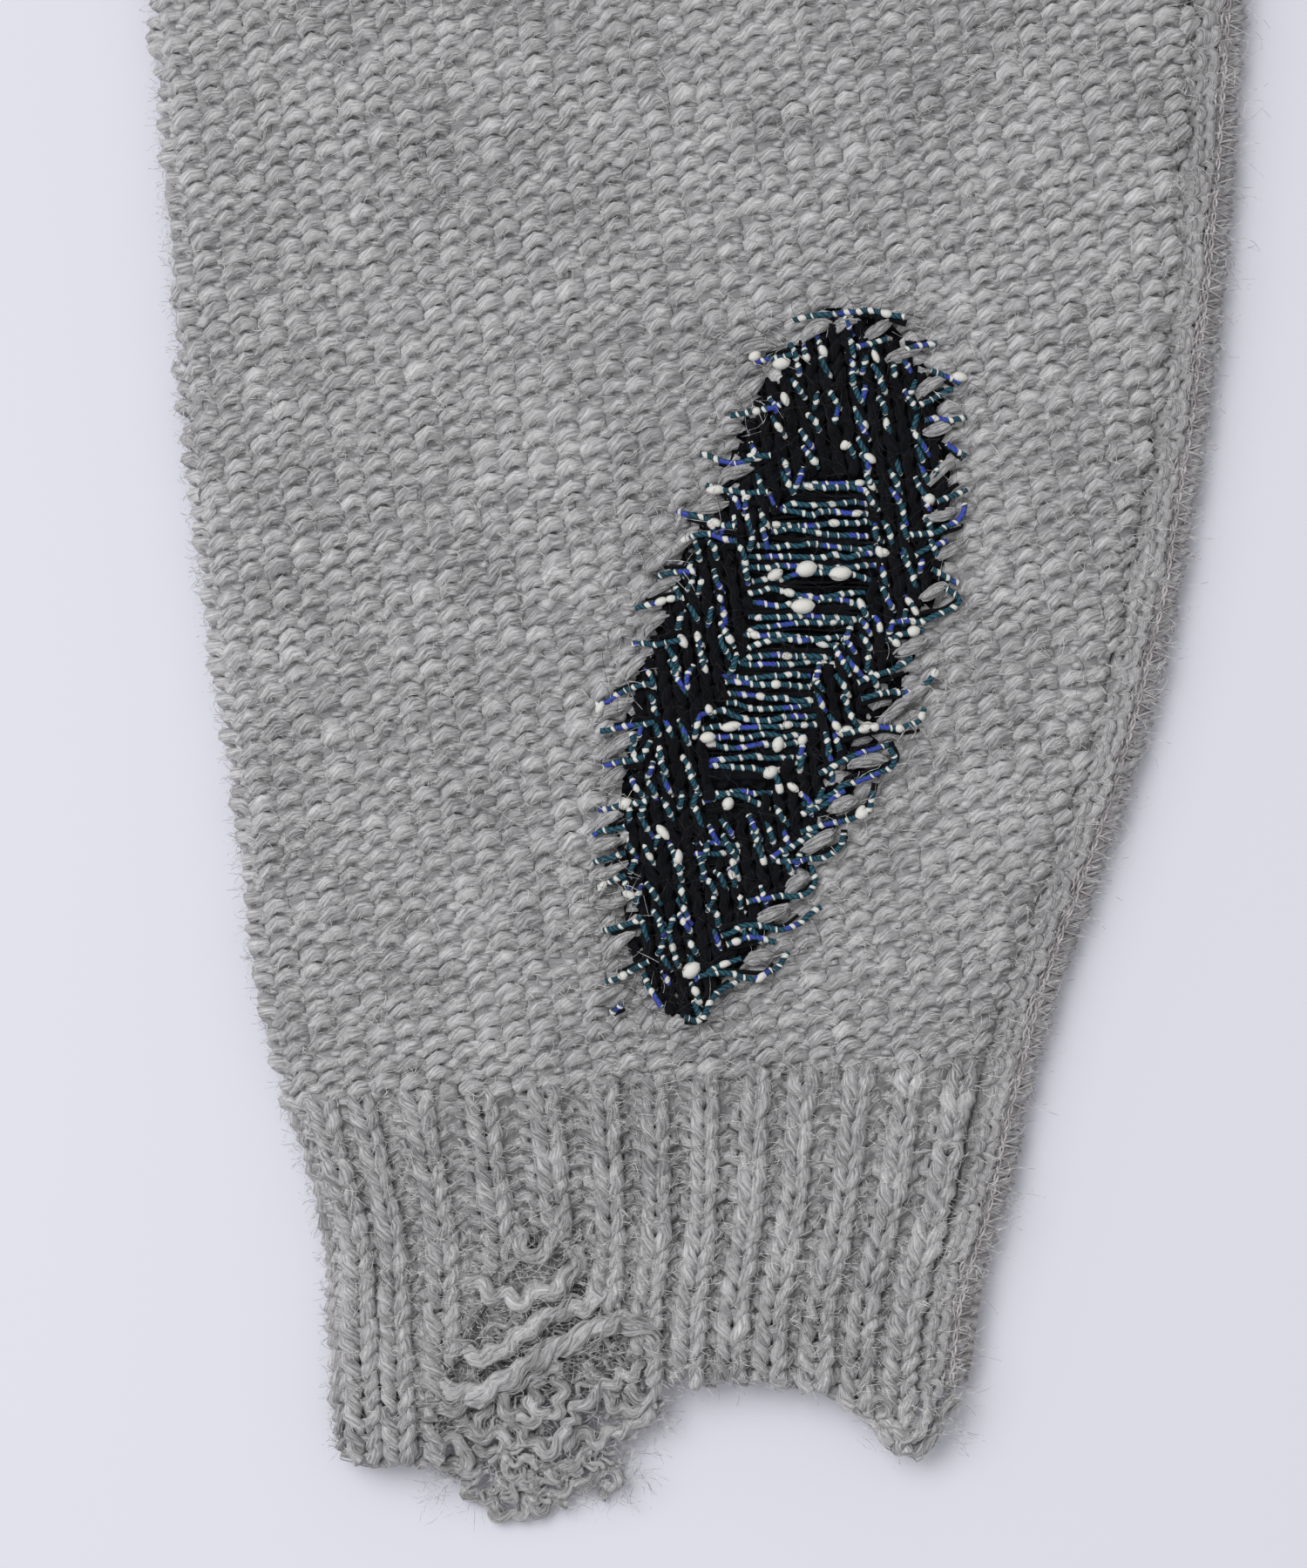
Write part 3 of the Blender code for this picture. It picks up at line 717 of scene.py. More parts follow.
def woollen(name: str, sheen: float) -> Finish:
    """Return a finish with the soft, dull gloss that wool has."""
    finish = Finish(name, 0.95, 0.8 * sheen)
    finish.set({"Sheen Weight": sheen, "Sheen Roughness": 0.6})
    return finish


@dataclass(frozen=True)
class YarnFinish:
    """Heathered wool yarn: its fibres, and the light and dark slivers blended into it. U is in millimetres.

    Attributes:
        dark, light: the colours that it is blended from.
        lean: how far the blend leans to the light colour.
        sheen: how strongly its fuzz catches the light.
        fibres, slivers, drawn, clouds, fine: the blend's weights of streaks round the yarn, flecks of some
            millimetres, slow changes along it, patches over the cloth, and grain.
        wind: how far the fibres wind round the yarn in a millimetre, in turns.
        relief: how deep the fibres stand.
    """

    name: str = "grey_wool_yarn"
    dark: tuple = (0.172, 0.166, 0.174, 1)
    light: tuple = (0.715, 0.706, 0.718, 1)
    lean: float = 0.0
    sheen: float = 0.25
    fibres: float = 0.85
    slivers: float = 0.75
    drawn: float = 0.7
    clouds: float = 0.5
    fine: float = 0.35
    wind: float = 0.06
    relief: float = 0.45 * MM

    def build(self) -> Material:
        """Return the material."""
        finish = woollen(self.name, self.sheen)
        tree = finish.tree
        place = node(tree, "ShaderNodeTexCoord", {}, {}, "Object")
        uv = stitch_map(tree)
        along, around = split(tree, uv)
        wound = {0: along * 0.32, 1: (around + along * self.wind) * 16.0}
        fibres = noise(tree, node(tree, "ShaderNodeCombineXYZ", {}, wound), 1.0, 3.0, 0.65)
        fine = noise(tree, place, 1100.0, 2.0)
        slivers = noise(tree, uv, 0.22, 3.0, 0.7)
        streaks = spread(tree, fibres, 0.34, 0.66)
        slow = {"W": along * 0.02, "Scale": 1.0, "Detail": 2.0}
        drawn = node(tree, "ShaderNodeTexNoise", {"noise_dimensions": "1D"}, slow)
        clouds = noise(tree, place, 50.0, 2.0)
        share = streaks * self.fibres + slivers * self.slivers + drawn * self.drawn + clouds * self.clouds
        even = (self.fibres + self.slivers + self.drawn + self.clouds + self.fine - 1) / 2
        share = share + fine * self.fine + (self.lean - even)
        return finish.wire(mix(tree, share, self.dark, self.light), fibres * 0.8 + fine * 0.5, self.relief)


@dataclass(frozen=True)
class StrandFinish:
    """Fine strands whose shade drifts from place to place, such as loose hairs or sewing thread.

    Attributes:
        dark, light: the shades that it drifts between.
        patch: how many patches of a shade fit in a metre.
    """

    name: str
    dark: tuple
    light: tuple
    patch: float = 300.0

    def build(self) -> Material:
        """Return the material."""
        finish = Finish(self.name, 0.8, 0.25)
        place = node(finish.tree, "ShaderNodeTexCoord", {}, {}, "Object")
        share = spread(finish.tree, noise(finish.tree, place, self.patch, 2.0), 0.38, 0.62)
        return finish.wire(mix(finish.tree, share, self.dark, self.light))


@dataclass(frozen=True)
class SlubFinish:
    """The darning yarn: a dark core bound in teal, slanting white flecks, now and then a streak of cobalt.

    Each whole step of U is a white fleck of its own size and the bound stretch after it. Both lean with V.
    Where U is below 0 the yarn is all white.

    Attributes:
        fleck: the half length of the largest fleck, in steps.
        fleck_middle: where in a step the fleck's middle lies.
        fleck_rounding: how much longer a fleck is on the yarn's top than beneath, in steps.
        lean: how far the flecks and rings lean, in steps.
        rings: the rings of binding in a step.
        blue_every: the steps from one cobalt streak to the next.
        blue_steps: how many steps a streak lasts.
    """

    white: tuple = (0.74, 0.73, 0.69, 1)
    core: tuple = (0.004, 0.026, 0.042, 1)
    teal: tuple = (0.026, 0.118, 0.172, 1)
    cobalt: tuple = (0.048, 0.075, 0.42, 1)
    fleck: float = 0.165
    fleck_middle: float = 0.25
    fleck_rounding: float = 0.05
    lean: float = 0.10
    rings: float = 5.0
    blue_every: int = 7
    blue_steps: float = 1.2

    def build(self) -> Material:
        """Return the material."""
        finish = Finish("slubbed_darning_yarn", 0.7, 0.3)
        tree = finish.tree
        uv = stitch_map(tree)
        along, around = split(tree, uv)
        leaning = along + ((around + 0.25) * TURN).cos() * self.lean
        step = leaning.part()
        line = {"noise_dimensions": "1D"}
        size = node(tree, "ShaderNodeTexWhiteNoise", line, {"W": leaning - step}, "Value")
        inside = size * self.fleck - (step - self.fleck_middle).size()
        fleck = spread(tree, inside + (around * TURN).cos() * self.fleck_rounding, -0.07, -0.03)
        fleck = fleck.least(0 - (along > 0.0) + 1)
        ring = (((leaning * self.rings).part() * TURN).cos() * 0.5 + 0.5) ** 0.7
        turn = (along * (1 / self.blue_every)).part()
        blue = (turn > 1 - self.blue_steps / self.blue_every) * ((around * TURN).cos() > 0.35)
        bound = mix(tree, ring, self.core, self.teal)
        bound = mix(tree, blue, bound, self.cobalt)
        streaks = node(tree, "ShaderNodeMapping", {}, {"Vector": uv, "Scale": (1.5, 9.0, 1.0)})
        streaks = noise(tree, streaks, 2.0, 2.0)
        height = ring * (1 - fleck) + fleck * 0.9 + streaks * fleck * 0.7
        return finish.wire(mix(tree, fleck, bound, self.white), height, 0.16 * MM)


@dataclass(frozen=True)
class ClothFinish:
    """Knitting as a finish, with painted shade in the hollows between its stitches: its UV map counts stitches and
    courses.

    Attributes:
        knitting: what it shows.
        dark, light: the colours that it is blended from; the dark one lies in the hollows between stitches as painted
            shade, and elsewhere at random as the wool's own tone.
        sheen: how strongly its fuzz catches the light.
        height: how high its stitches stand.
        sway: how far its stitches stray from an even grid, in (stitches, courses).
    """

    knitting: Knitting
    dark: tuple
    light: tuple
    sheen: float = 0.25
    height: float = 1.3 * MM
    sway: tuple = (0.4, 0.5, 0)

    def build(self) -> Material:
        """Return the material."""
        finish = woollen(f"wool_{self.knitting.value}", self.sheen)
        tree = finish.tree
        uv = stitch_map(tree)
        sway = node(tree, "ShaderNodeTexNoise", {}, {"Vector": uv, "Scale": 0.8, "Detail": 2.0}, "Color")
        strayed = {0: sway, 1: self.sway, 2: uv}
        sway = node(tree, "ShaderNodeVectorMath", {"operation": "MULTIPLY_ADD"}, strayed)
        across, along = split(tree, sway)
        fibres = node(tree, "ShaderNodeMapping", {}, {"Vector": sway, "Scale": self._fibre_scale()})
        fibres = noise(tree, fibres, 1.0, 4.0, 0.65)
        cloudy = noise(tree, uv, 0.16, 4.0, 0.6)
        relief = self._relief(across, along)
        # The stitches' height also darkens the colour towards their hollows: painted shade, on top of the bump.
        share = relief * 0.75 + fibres * 0.75 + cloudy * 0.5 - 0.5
        return finish.wire(mix(tree, share, self.dark, self.light), relief + fibres * 0.3, self.height)

    def _fibre_scale(self) -> tuple[float, float, float]:
        """Return how fast the fibres' streaks change across and along."""
        scales = {
            Knitting.PURL: (2.2, 9.0, 1.0),
            Knitting.RIB: (16.0, 2.2, 1.0),
            Knitting.SERGED: (3.0, 14.0, 1.0),
            Knitting.DARNED: (9.0, 2.2, 1.0),
        }
        return scales[self.knitting]

    def _relief(self, across: Sock, along: Sock) -> Sock:
        """Return the stitches' height, from 0 to 1, which sets both the bump and the painted shade in their hollows.
        """
        if self.knitting in (Knitting.PURL, Knitting.DARNED):
            loops = (across * TURN).cos() * ((along - 0.74) * TURN).cos()
            return loops.least(0.0) ** 0.6
        if self.knitting is Knitting.SERGED:
            return ((along * TURN).cos() * 0.5 + 0.5) ** 0.5
        column = (across * TURN).cos() * 0.5 + 0.5
        beside = ((across + 0.5).part() - 0.5).size()
        legs = ((along - beside * 2.6) * TURN).cos() * 0.5 + 0.5
        return column ** 0.6 * (0.45 + legs ** 0.6 * 0.55)


@dataclass(frozen=True)
class FloorFinish:
    """The pale paper that the sweater lies on."""

    colour: tuple = (0.78, 0.78, 0.86, 1)

    def build(self) -> Material:
        """Return the material."""
        finish = Finish("pale_paper", 0.9, 0.0)
        finish.set({"Base Color": self.colour})
        return finish.made


def pieces_inside(inside: Array) -> list[slice]:
    """Return the stretches of a line whose points are all inside."""
    cuts = np.flatnonzero(np.diff(inside)) + 1
    bounds = np.r_[0, cuts, len(inside)]
    return [slice(start, stop) for start, stop in zip(bounds, bounds[1:]) if inside[start]]


def sides_at(rows: Sequence[tuple[float, float, float]], along: Array) -> tuple[Array, Array]:
    """Return the left and right sides at these places, from (along, left, right) rows."""
    table = in_metres(rows)
    return np.interp(along, table[:, 0], table[:, 1]), np.interp(along, table[:, 0], table[:, 2])


def within(rows: tuple, sides: tuple, across: Array, along: Array, inset: float) -> Array:
    """Return whether places lie between these sides and a table's ends, at least inset from all."""
    level = (along > rows[0][0] * MM + inset) & (along < rows[-1][0] * MM - inset)
    return level & (across > sides[0] + inset) & (across < sides[1] - inset)


@dataclass(frozen=True)
class DarnShape:
    """The darn's outline and the ground inside it that is worked solid.

    Attributes:
        left, right: (along, across) rows of the outline.
        worked: (along, left, right) rows of the solid ground.
    """

    left: tuple = (
        (64, 3), (70, -4), (79, -6.5), (90, -8), (103, -8.5), (117, -8), (131, -3.5), (146, 2.5), (160, 9),
        (171, 14.5), (180, 19), (187, 27),
    )
    right: tuple = (
        (64, 9), (70, 13), (79, 20), (90, 28.5), (103, 37), (117, 45.5), (131, 49), (146, 52), (160, 53),
        (171, 52), (180, 47), (187, 41.5),
    )
    worked: tuple = (
        (64.6, 4.6, 7.4), (65.7, 3.2, 8.6), (70, -0.6, 11.4), (74.3, -2.7, 14.4), (78.6, -3.4, 18),
        (83, -3.8, 21), (87, -5.2, 24), (91.6, -5.5, 26), (96, -5.5, 27.6), (100, -5, 29.4),
        (106.6, -3.4, 31.6), (113, -4.4, 34.6), (121, -2.2, 38.4), (126.6, -1.2, 41.4), (131.8, 1.2, 44),
        (137, 3, 47.4), (142.4, 5, 48.8), (147.6, 8, 49.4), (153, 12.2, 49.6), (158, 14.6, 49.6),
        (163.4, 15, 49.4), (168.7, 16.2, 48.6), (174, 20, 47), (179, 23.4, 43), (183, 27, 39.4),
        (185, 31, 36.6),
    )

    def covers(self, across: Array, along: Array, inset: float) -> Array:
        """Return whether places lie where the darn is worked solid, at least inset from its side."""
        return within(self.worked, sides_at(self.worked, along), across, along, inset)

    def holds(self, across: Array, along: Array, inset: float) -> Array:
        """Return whether places lie inside the outline, at least inset from it."""
        return within(self.left, self.sides(along), across, along, inset)

    def sides(self, along: Array) -> tuple[Array, Array]:
        """Return how far across the outline's left and right sides lie."""
        return smooth_table(in_metres(self.left), along), smooth_table(in_metres(self.right), along)


@dataclass
class KnitLoops:
    """Reverse stockinette as loops of yarn, on a sleeve's lower end.

    Attributes:
        low, high: the places along the sleeve that it covers.
        before, after: how much further the courses go, because they slope.
        bands: the pieces that it is made in, from the cuff up.
        first_stitch, last_stitch: the stitches of a course, which reach past both edges.
        loop_height: a loop's half height, in courses.
        loop_width: how far a loop's neck is drawn in, in stitches.
        depth: how far the loops go up and down through the cloth.
        heads: how much further the heads stand out than the feet, as a share of depth.
        drift: how far a course wanders along the sleeve.
        round_fold: how far the loops reach past the folded edge, round to the underside.
        round_seam: the least and most that they reach past the seam.
        under_darn: how far the loops reach in under the darn.
    """

    sleeve: SleeveMap
    darn: DarnShape
    low: float = 50 * MM
    high: float = 256 * MM
    before: float = 26 * MM
    after: float = 16 * MM
    bands: int = 4
    first_stitch: int = -17
    last_stitch: int = 30
    points_per_stitch: int = 10
    loop_height: float = 0.74
    loop_width: float = 0.165
    depth: float = 1.0 * MM
    heads: float = 0.38
    drift: float = 0.2 * MM
    round_fold: float = 4.6 * MM
    round_seam: tuple = (1.0, 3.0)
    under_darn: float = 1.4 * MM
    seed: int = 7

    def build(self, finish: Material) -> list[Object]:
        """Make the loops, in bands from the cuff up."""
        rng = np.random.default_rng(self.seed)
        edges = np.linspace(self.low, self.high, self.bands + 1)
        bundles = [YarnBundle(f"sleeve_right_loops_{number + 1}") for number in range(self.bands)]
        first, last = int((self.low - self.before) / COURSE[1]), int((self.high + self.after) / COURSE[1])
        for course in range(first, last):
            self._course(course, bundles, edges, rng)
        return [bundle.build(finish) for bundle in bundles]

    def _course(self, course: int, bundles: list[YarnBundle], edges: Array, rng: Rng) -> None:
        """Add one course's yarn to the bundles.

        Args:
            course: its number from the worn edge.
            bundles: one for each band.
            edges: where the bands begin and end.
            rng: draws how uneven its stitches are.
        """
        first, last = self.first_stitch, self.last_stitch
        count = (last - first) * self.points_per_stitch + 1
        turn = np.linspace(first, last, count)
        phase = turn * TURN
        neck, crown, up, through_cloth, head, shift = own_values(rng, 6, turn, first, last)
        wide = turn + 0.05 * shift + self.loop_width * (1 + 0.12 * neck) * np.sin(2 * phase)
        wide = wide + 0.055 * np.sin(phase)
        tall = self.loop_height * (1 + 0.09 * crown) * np.cos(phase) + 0.125 * up + 0.06 * np.sin(2 * phase)
        heads = self.heads * np.cos(phase) * (1 + 0.45 * head)
        lift = self.depth * (np.cos(2 * phase) * (1 + 0.15 * through_cloth) + heads + 0.2 * crown)
        drift = smooth_noise(rng, count, 60) * self.drift
        across = wide * STITCH[0] + (course + tall) * COURSE[0]
        along = wide * STITCH[1] + (course + tall) * COURSE[1] + drift
        radius = YARN_RADIUS * (1 + 0.12 * smooth_noise(rng, count, 23) + 0.08 * smooth_noise(rng, count, 6))
        radius = radius * (1.02 + 0.12 * np.cos(2 * phase) + 0.45 * heads)
        fold, seam = self.sleeve.fold(along), self.sleeve.seam(along)
        inside = (across > fold - self.round_fold) & (across < seam + rng.uniform(*self.round_seam) * MM)
        inside &= (along > rib_line(across)) & (along < self.high + 2 * COURSE[1])
        inside &= ~self.darn.covers(across, along, self.under_darn)
        points = self.sleeve.wrap(across, along, lift)
        band = np.searchsorted(edges, course * COURSE[1] + turn * STITCH[1]) - 1
        band = np.clip(band, 0, self.bands - 1)
        marks = lengths_of(points) / MM + rng.uniform(0, 900)
        for number, bundle in enumerate(bundles):
            for part in pieces_inside(inside & (band == number)):
                part = slice(part.start, min(part.stop + 1, count))
                bundle.add(points[part], radius[part], marks[part])


def own_values(rng: Rng, rows: int, at: Array, first: float, last: float) -> Array:
    """Return rows of random values, one to each stitch, read smoothly at every point of the course."""
    stitches = np.arange(first, last + 2)
    return np.array([np.interp(at, stitches, row) for row in rng.normal(size=(rows, len(stitches)))])


def rib_line(across: Array) -> Array:
    """Return how far along the worn cuff's ribbing begins."""
    return 53.6 * MM + 0.065 * across


@dataclass
class RibLoops:
    """The worn cuff's single ribbing as loops of yarn, open where it has run.

    Attributes:
        ribs: where the middle of each knit column lies, as a share of the way from the fold to the seam.
        columns: the share of a rib that its knit column takes, in the first and the last of column_rows.
        edge: (across, along) rows of the worn edge.
        run: (along, left, right) rows of the run's outline.
        low, high: the first row, and the one after the last.
        start: how far along the row of number 0 lies.
        depth: how far the loops go up and down through the cloth.
        raise_by: how far the knit columns stand above the middle, and the purl ones lie below it.
        slope: how much further along the ribbing lies at the seam than at the fold, by the sleeve.
        slope_from: where the whole slope is reached.
        thin, thick: the yarn's radius, and what the fat legs of a knit column add to it.
    """

    sleeve: SleeveMap
    ribs: tuple = (
        -0.045, 0.052, 0.111, 0.19, 0.282, 0.374, 0.459, 0.531, 0.603, 0.675, 0.741, 0.819, 0.891, 0.963,
    )
    columns: tuple = (0.78, 0.48)
    column_rows: tuple = (1, 10)
    edge: tuple = (
        (-64, -10.5), (-56, -11), (-50, -12.5), (-36, -12), (-31, -4), (-4, -1), (0, 1.3), (30, 0.6),
        (33.6, -1.8), (38.3, -5.8), (41.6, -9.6), (45, -11), (48.2, -8.4), (50.2, -3.8), (53.5, -1),
    )
    run: tuple = (
        (-30, -34, -1), (-2, -37.5, -1), (5, -34, -1), (8, -33, -3.5), (14, -31.5, -8.5), (20, -28.5, -12),
        (24, -24, -14), (27, -21.5, -18),
    )
    low: int = -5
    high: int = 20
    start: float = 1.4 * MM
    points_per_stitch: int = 10
    depth: float = 0.9 * MM
    raise_by: float = 1.25 * MM
    slope: float = 5.5 * MM
    slope_from: float = 60 * MM
    thin: float = 0.98 * MM
    thick: float = 0.34 * MM
    seed: int = 19

    def build(self, finish: Material) -> Object:
        """Make the ribbing's loops."""
        rng = np.random.default_rng(self.seed)
        bundle = YarnBundle("cuff_right_loops")
        for row in range(self.low, self.high):
            self._row(row, bundle, rng)
        return bundle.build(finish)

    def in_run(self, across: Array, along: Array) -> Array:
        """Return whether places lie in the run."""
        left, right = sides_at(self.run, along)
        return (along < self.run[-1][0] * MM) & (across > left) & (across < right)

    def _row(self, row: int, bundle: YarnBundle, rng: Rng) -> None:
        """Add one row's yarn: knit on even stitches, purl on odd ones."""
        last = 2 * len(self.ribs) - 1
        count = last * self.points_per_stitch + 1
        turn = np.linspace(-0.5, last - 0.5, count)
        phase = turn * TURN
        side = np.cos(math.pi * turn)
        neck, crown, up, through_cloth, stand = own_values(rng, 5, turn, -0.5, last - 0.5)
        wide = turn + (0.22 + 0.09 * side) * (1 + 0.12 * neck) * np.sin(2 * phase)
        tall = (0.82 + 0.12 * side) * (1 + 0.07 * crown) * np.cos(phase) + 0.10 * up
        lift = -self.depth * np.cos(2 * phase) * side * (1 + 0.15 * through_cloth)
        lift = lift + self.raise_by * (side + 0.22 * stand)
        portion = np.interp(wide, *self._columns(row))
        along = (row + tall) * RIB_ROW + self.start
        along = along + self.slope * (portion - 0.5) * np.clip(along / self.slope_from, 0, 1)
        fold, seam = self.sleeve.fold(along), self.sleeve.seam(along)
        across = fold + portion * (seam - fold)
        uneven = 1 + 0.15 * smooth_noise(rng, count, 27) + 0.08 * smooth_noise(rng, count, 7)
        radius = (self.thin + self.thick * np.clip(-side * np.cos(2 * phase), 0, 1) * (side > 0)) * uneven
        inside = (along < rib_line(across) + 1.5 * MM) & (along > self.worn_edge(across) - 0.3 * MM)
        inside &= ~self.in_run(across, along) & (across > fold - 6 * MM)
        points = self.sleeve.wrap(across, along, lift)
        marks = lengths_of(points) / MM + rng.uniform(0, 900)
        for part in pieces_inside(inside):
            bundle.add(points[part], radius[part], marks[part])

    def _columns(self, row: int) -> tuple[Array, Array]:
        """Return stitches and the shares across at which their edges lie in this row."""
        middles = np.array(self.ribs)
        half = np.gradient(middles) * np.interp(row, self.column_rows, self.columns) / 2
        places = np.stack([middles - half, middles + half], -1).ravel()
        return np.arange(len(places)) - 0.5, places

    def worn_edge(self, across: Array) -> Array:
        """Return how far along the worn edge lies."""
        places, values = in_metres(self.edge).T
        return np.interp(across, places, values)


def roving(path: Array, radius: float, rng: Rng, crimp: float) -> list[tuple]:
    """Return soft, crimped yarn that has been knitted before: a full core with loose strands round it.

    Args:
        path: the yarn's middle.
        radius: the whole yarn's.
        rng: draws the crimp's phases.
        crimp: how far the crimp swings, in millimetres.

    Returns:
        (points, radius) for the core and for each strand, the last of them fine and stray.
    """
    strands, close, twist = 10, 8, 19 * MM
    count = len(path)
    reach = lengths_of(path)
    way = np.gradient(path, axis=0)
    way /= np.linalg.norm(way, axis=1)[:, None]
    side = np.cross(way, (0, 0, 1.0))
    up = np.cross(side, way)
    wave = TURN * reach / (rng.uniform(4.2, 6.0) * MM) + 1.5 * smooth_noise(rng, count, 9)
    swing = crimp * MM * (1 + 0.5 * smooth_noise(rng, count, 9))
    crimped = path + side * (swing * np.sin(wave))[:, None] + up * (0.6 * swing * np.cos(wave))[:, None]
    made = [(crimped, radius * (0.8 + 0.08 * smooth_noise(rng, count, 4)))]
    for strand in range(strands):
        stray = strand >= close
        spin = TURN * (strand / close + reach / twist) + 0.9 * smooth_noise(rng, count, 6)
        out = radius * (0.72 + 0.14 * smooth_noise(rng, count, 5) + 0.45 * stray)
        own = radius * (0.09 if stray else 0.24 + 0.05 * smooth_noise(rng, count, 5))
        turned = side * (out * np.cos(spin))[:, None] + up * (out * np.sin(spin))[:, None]
        made.append((crimped + turned, own))
    return made


@dataclass
class CuffDamage:
    """What hangs in and below the cuff's run: dropped loops, sagging strands and crimped ravelled yarn.

    Every row of a table is a yarn's radius and then its (across, along, height) places.

    Attributes:
        ladders: the strands that still cross the run.
        ravels: the crimped yarn that hangs from it.
        edges: the yarn along the rest of the worn edge, and a dropped loop at the run's top.
        ladder_size, ravel_size, edge_size: how much thicker than in its row each kind is, and its crimp.
        tufts: how many short curls fill the ravelled place.
        tuft_area: the least and most (across, along) of a curl's middle.
    """

    sleeve: SleeveMap
    ladders: tuple = (
        (1.25, (-23.2, 31, 6.6), (-23.6, 27.6, 7.6), (-21.8, 24.7, 8.4), (-19.5, 24, 8.6),
         (-17.4, 25.4, 8.3), (-16.8, 28.8, 7.6), (-17.2, 31.5, 6.8)),
        (1.40, (-34.5, 21.2, 6.2), (-31.5, 19.2, 7.6), (-27.5, 17.3, 7.9), (-24, 16, 7.9),
         (-20, 17.2, 7.9), (-16.2, 18.4, 7.8), (-13.9, 21.4, 7.6), (-12.6, 25, 6.6)),
        (1.35, (-37, 11.5, 6), (-34, 8.4, 7.2), (-29.9, 6.1, 7.6), (-25.7, 7.7, 7.8),
         (-20.2, 12.1, 8), (-14.8, 14.5, 8), (-9.9, 15.8, 7.8), (-8.2, 19, 6.6)),
        (1.45, (-42, 3.2, 6), (-36, 0.7, 7.3), (-30.3, 0.1, 7.7), (-26.4, 2.3, 7.9), (-20.8, 5.4, 8),
         (-14.8, 8.8, 8.2), (-10.6, 10.8, 8.4), (-5.2, 12.8, 8.4), (-1, 10.3, 8.2), (0.5, 5.6, 7.2)),
        (1.15, (-41.5, -1.4, 5.6), (-37, -2.9, 6.4), (-32.2, -1.8, 6.9), (-27.9, 0.4, 7.2),
         (-22, 2.6, 7.2), (-16, 4.8, 7.2)),
    )
    ravels: tuple = (
        (1.30, (-43, -4.6, 6), (-39.2, -7.2, 6.4), (-35.2, -8, 6.2), (-32.2, -10.4, 5.6),
         (-33.4, -13.2, 4.6), (-35.6, -12.2, 4.2)),
        (1.25, (-41.5, -6.8, 5.4), (-39, -10.2, 5.2), (-36.6, -12.4, 4.4), (-32.8, -13.8, 3.8),
         (-30.4, -12.2, 3.6)),
        (1.20, (-24.4, -3.6, 5.6), (-21.8, -8, 5.4), (-17.9, -10.6, 5), (-15.2, -6.6, 5.6),
         (-12.4, -1.8, 6.4), (-6.2, 2.2, 7.2), (-1.8, 4.4, 7.4)),
        (1.05, (-31, -9.6, 4.2), (-25.5, -11.5, 4), (-25.2, -15, 3.4), (-21.4, -15, 3.4),
         (-19.4, -17.8, 2.8), (-14.8, -17.2, 2.8), (-10.4, -15, 3), (-7.2, -14.6, 2.6),
         (-7, -17, 2), (-9, -17.6, 1.8)),
        (0.85, (-29.5, -12.6, 3.4), (-31.6, -15.2, 2.8), (-31.9, -18.2, 2.2), (-29.8, -19.9, 2),
         (-28.6, -18.6, 2.4)),
        (1.15, (-28.2, -17.2, 2.4), (-27.8, -20, 2), (-25.2, -22, 1.8), (-22.8, -21.6, 1.8),
         (-22.2, -18.8, 2.2), (-19.2, -20.4, 1.8), (-15.6, -19, 2)),
        (1.25, (-15.8, -9.4, 4.6), (-12.4, -7.2, 5), (-10.6, -8.6, 4.8), (-6, -6.4, 5.2),
         (-1.9, -5.6, 4.8), (-0.8, -2.2, 5.4), (-4.8, 0.8, 6.6)),
        (1.15, (-19.8, 2.4, 6.6), (-20.4, -2.6, 6.2), (-17.4, -4, 6.2), (-15.8, -0.2, 6.6),
         (-16.4, 3.2, 6.6)),
        (1.15, (-26.2, 0.2, 6.6), (-24.6, -4.2, 6), (-20.9, -4.4, 6), (-20.4, -0.6, 6.4)),
        (1.05, (-10.4, -10.2, 4), (-13.6, -12.4, 3.6), (-17.8, -13.2, 3.4), (-21.2, -11.6, 3.8),
         (-23.6, -13.2, 3.4)),
        (1.10, (-12.4, -13.2, 3.2), (-16.4, -15, 2.8), (-20.4, -13.4, 3), (-24.6, -16.8, 2.8),
         (-27.2, -15, 2.8)),
        (1.20, (-33.8, -5.8, 5.4), (-30.2, -7.8, 5.2), (-26.6, -7, 5), (-24.2, -9, 4.6),
         (-20.6, -8.4, 4.6)),
        (1.15, (-3.2, 7.8, 7.4), (0.6, 3, 7), (-0.8, -1.6, 6.2), (-4.4, -3.2, 5.8), (-7.6, -2.2, 6),
         (-8.6, 1.6, 6.6), (-11.8, 5.2, 7)),
        (1.10, (-31.6, 3.6, 4.4), (-28.8, -2.6, 4.6), (-31.4, -6.4, 4.6), (-34.6, -4.4, 4.8)),
    )
    edges: tuple = (
        (1, (-53.6, -10.2, 4.6), (-50.5, -11.6, 5.2), (-45.5, -11.6, 5.4), (-40, -10.8, 5.2)),
        (1.20, (30, 1.2, 5.6), (34, -1.6, 6), (38.2, -5.2, 6.4), (41.6, -9, 6.2), (45, -10.2, 5.6),
         (48, -7.8, 5.8), (49.8, -3.4, 6), (52.4, -0.8, 6.2)),
        (1.10, (36, 1, 7.2), (39, -3.2, 7.8), (42.2, -6.6, 7.8), (45, -7.8, 7.4), (46.6, -5, 7.4),
         (48, -0.6, 7.6)),
        (0.65, (37.4, -3.6, 8.6), (37.4, -1.6, 9.1), (38.8, -0.8, 9.3), (40.2, -1.8, 9.2), (40, -3.6, 8.9),
         (38.4, -4.2, 8.5)),
    )
    ladder_size: tuple = (1.3, 0.5)
    ravel_size: tuple = (1.05, 0.65)
    edge_size: tuple = (1.1, 0.3)
    tufts: int = 130
    tuft_area: tuple = ((-37, -19), (-1, 12))
    seed: int = 23

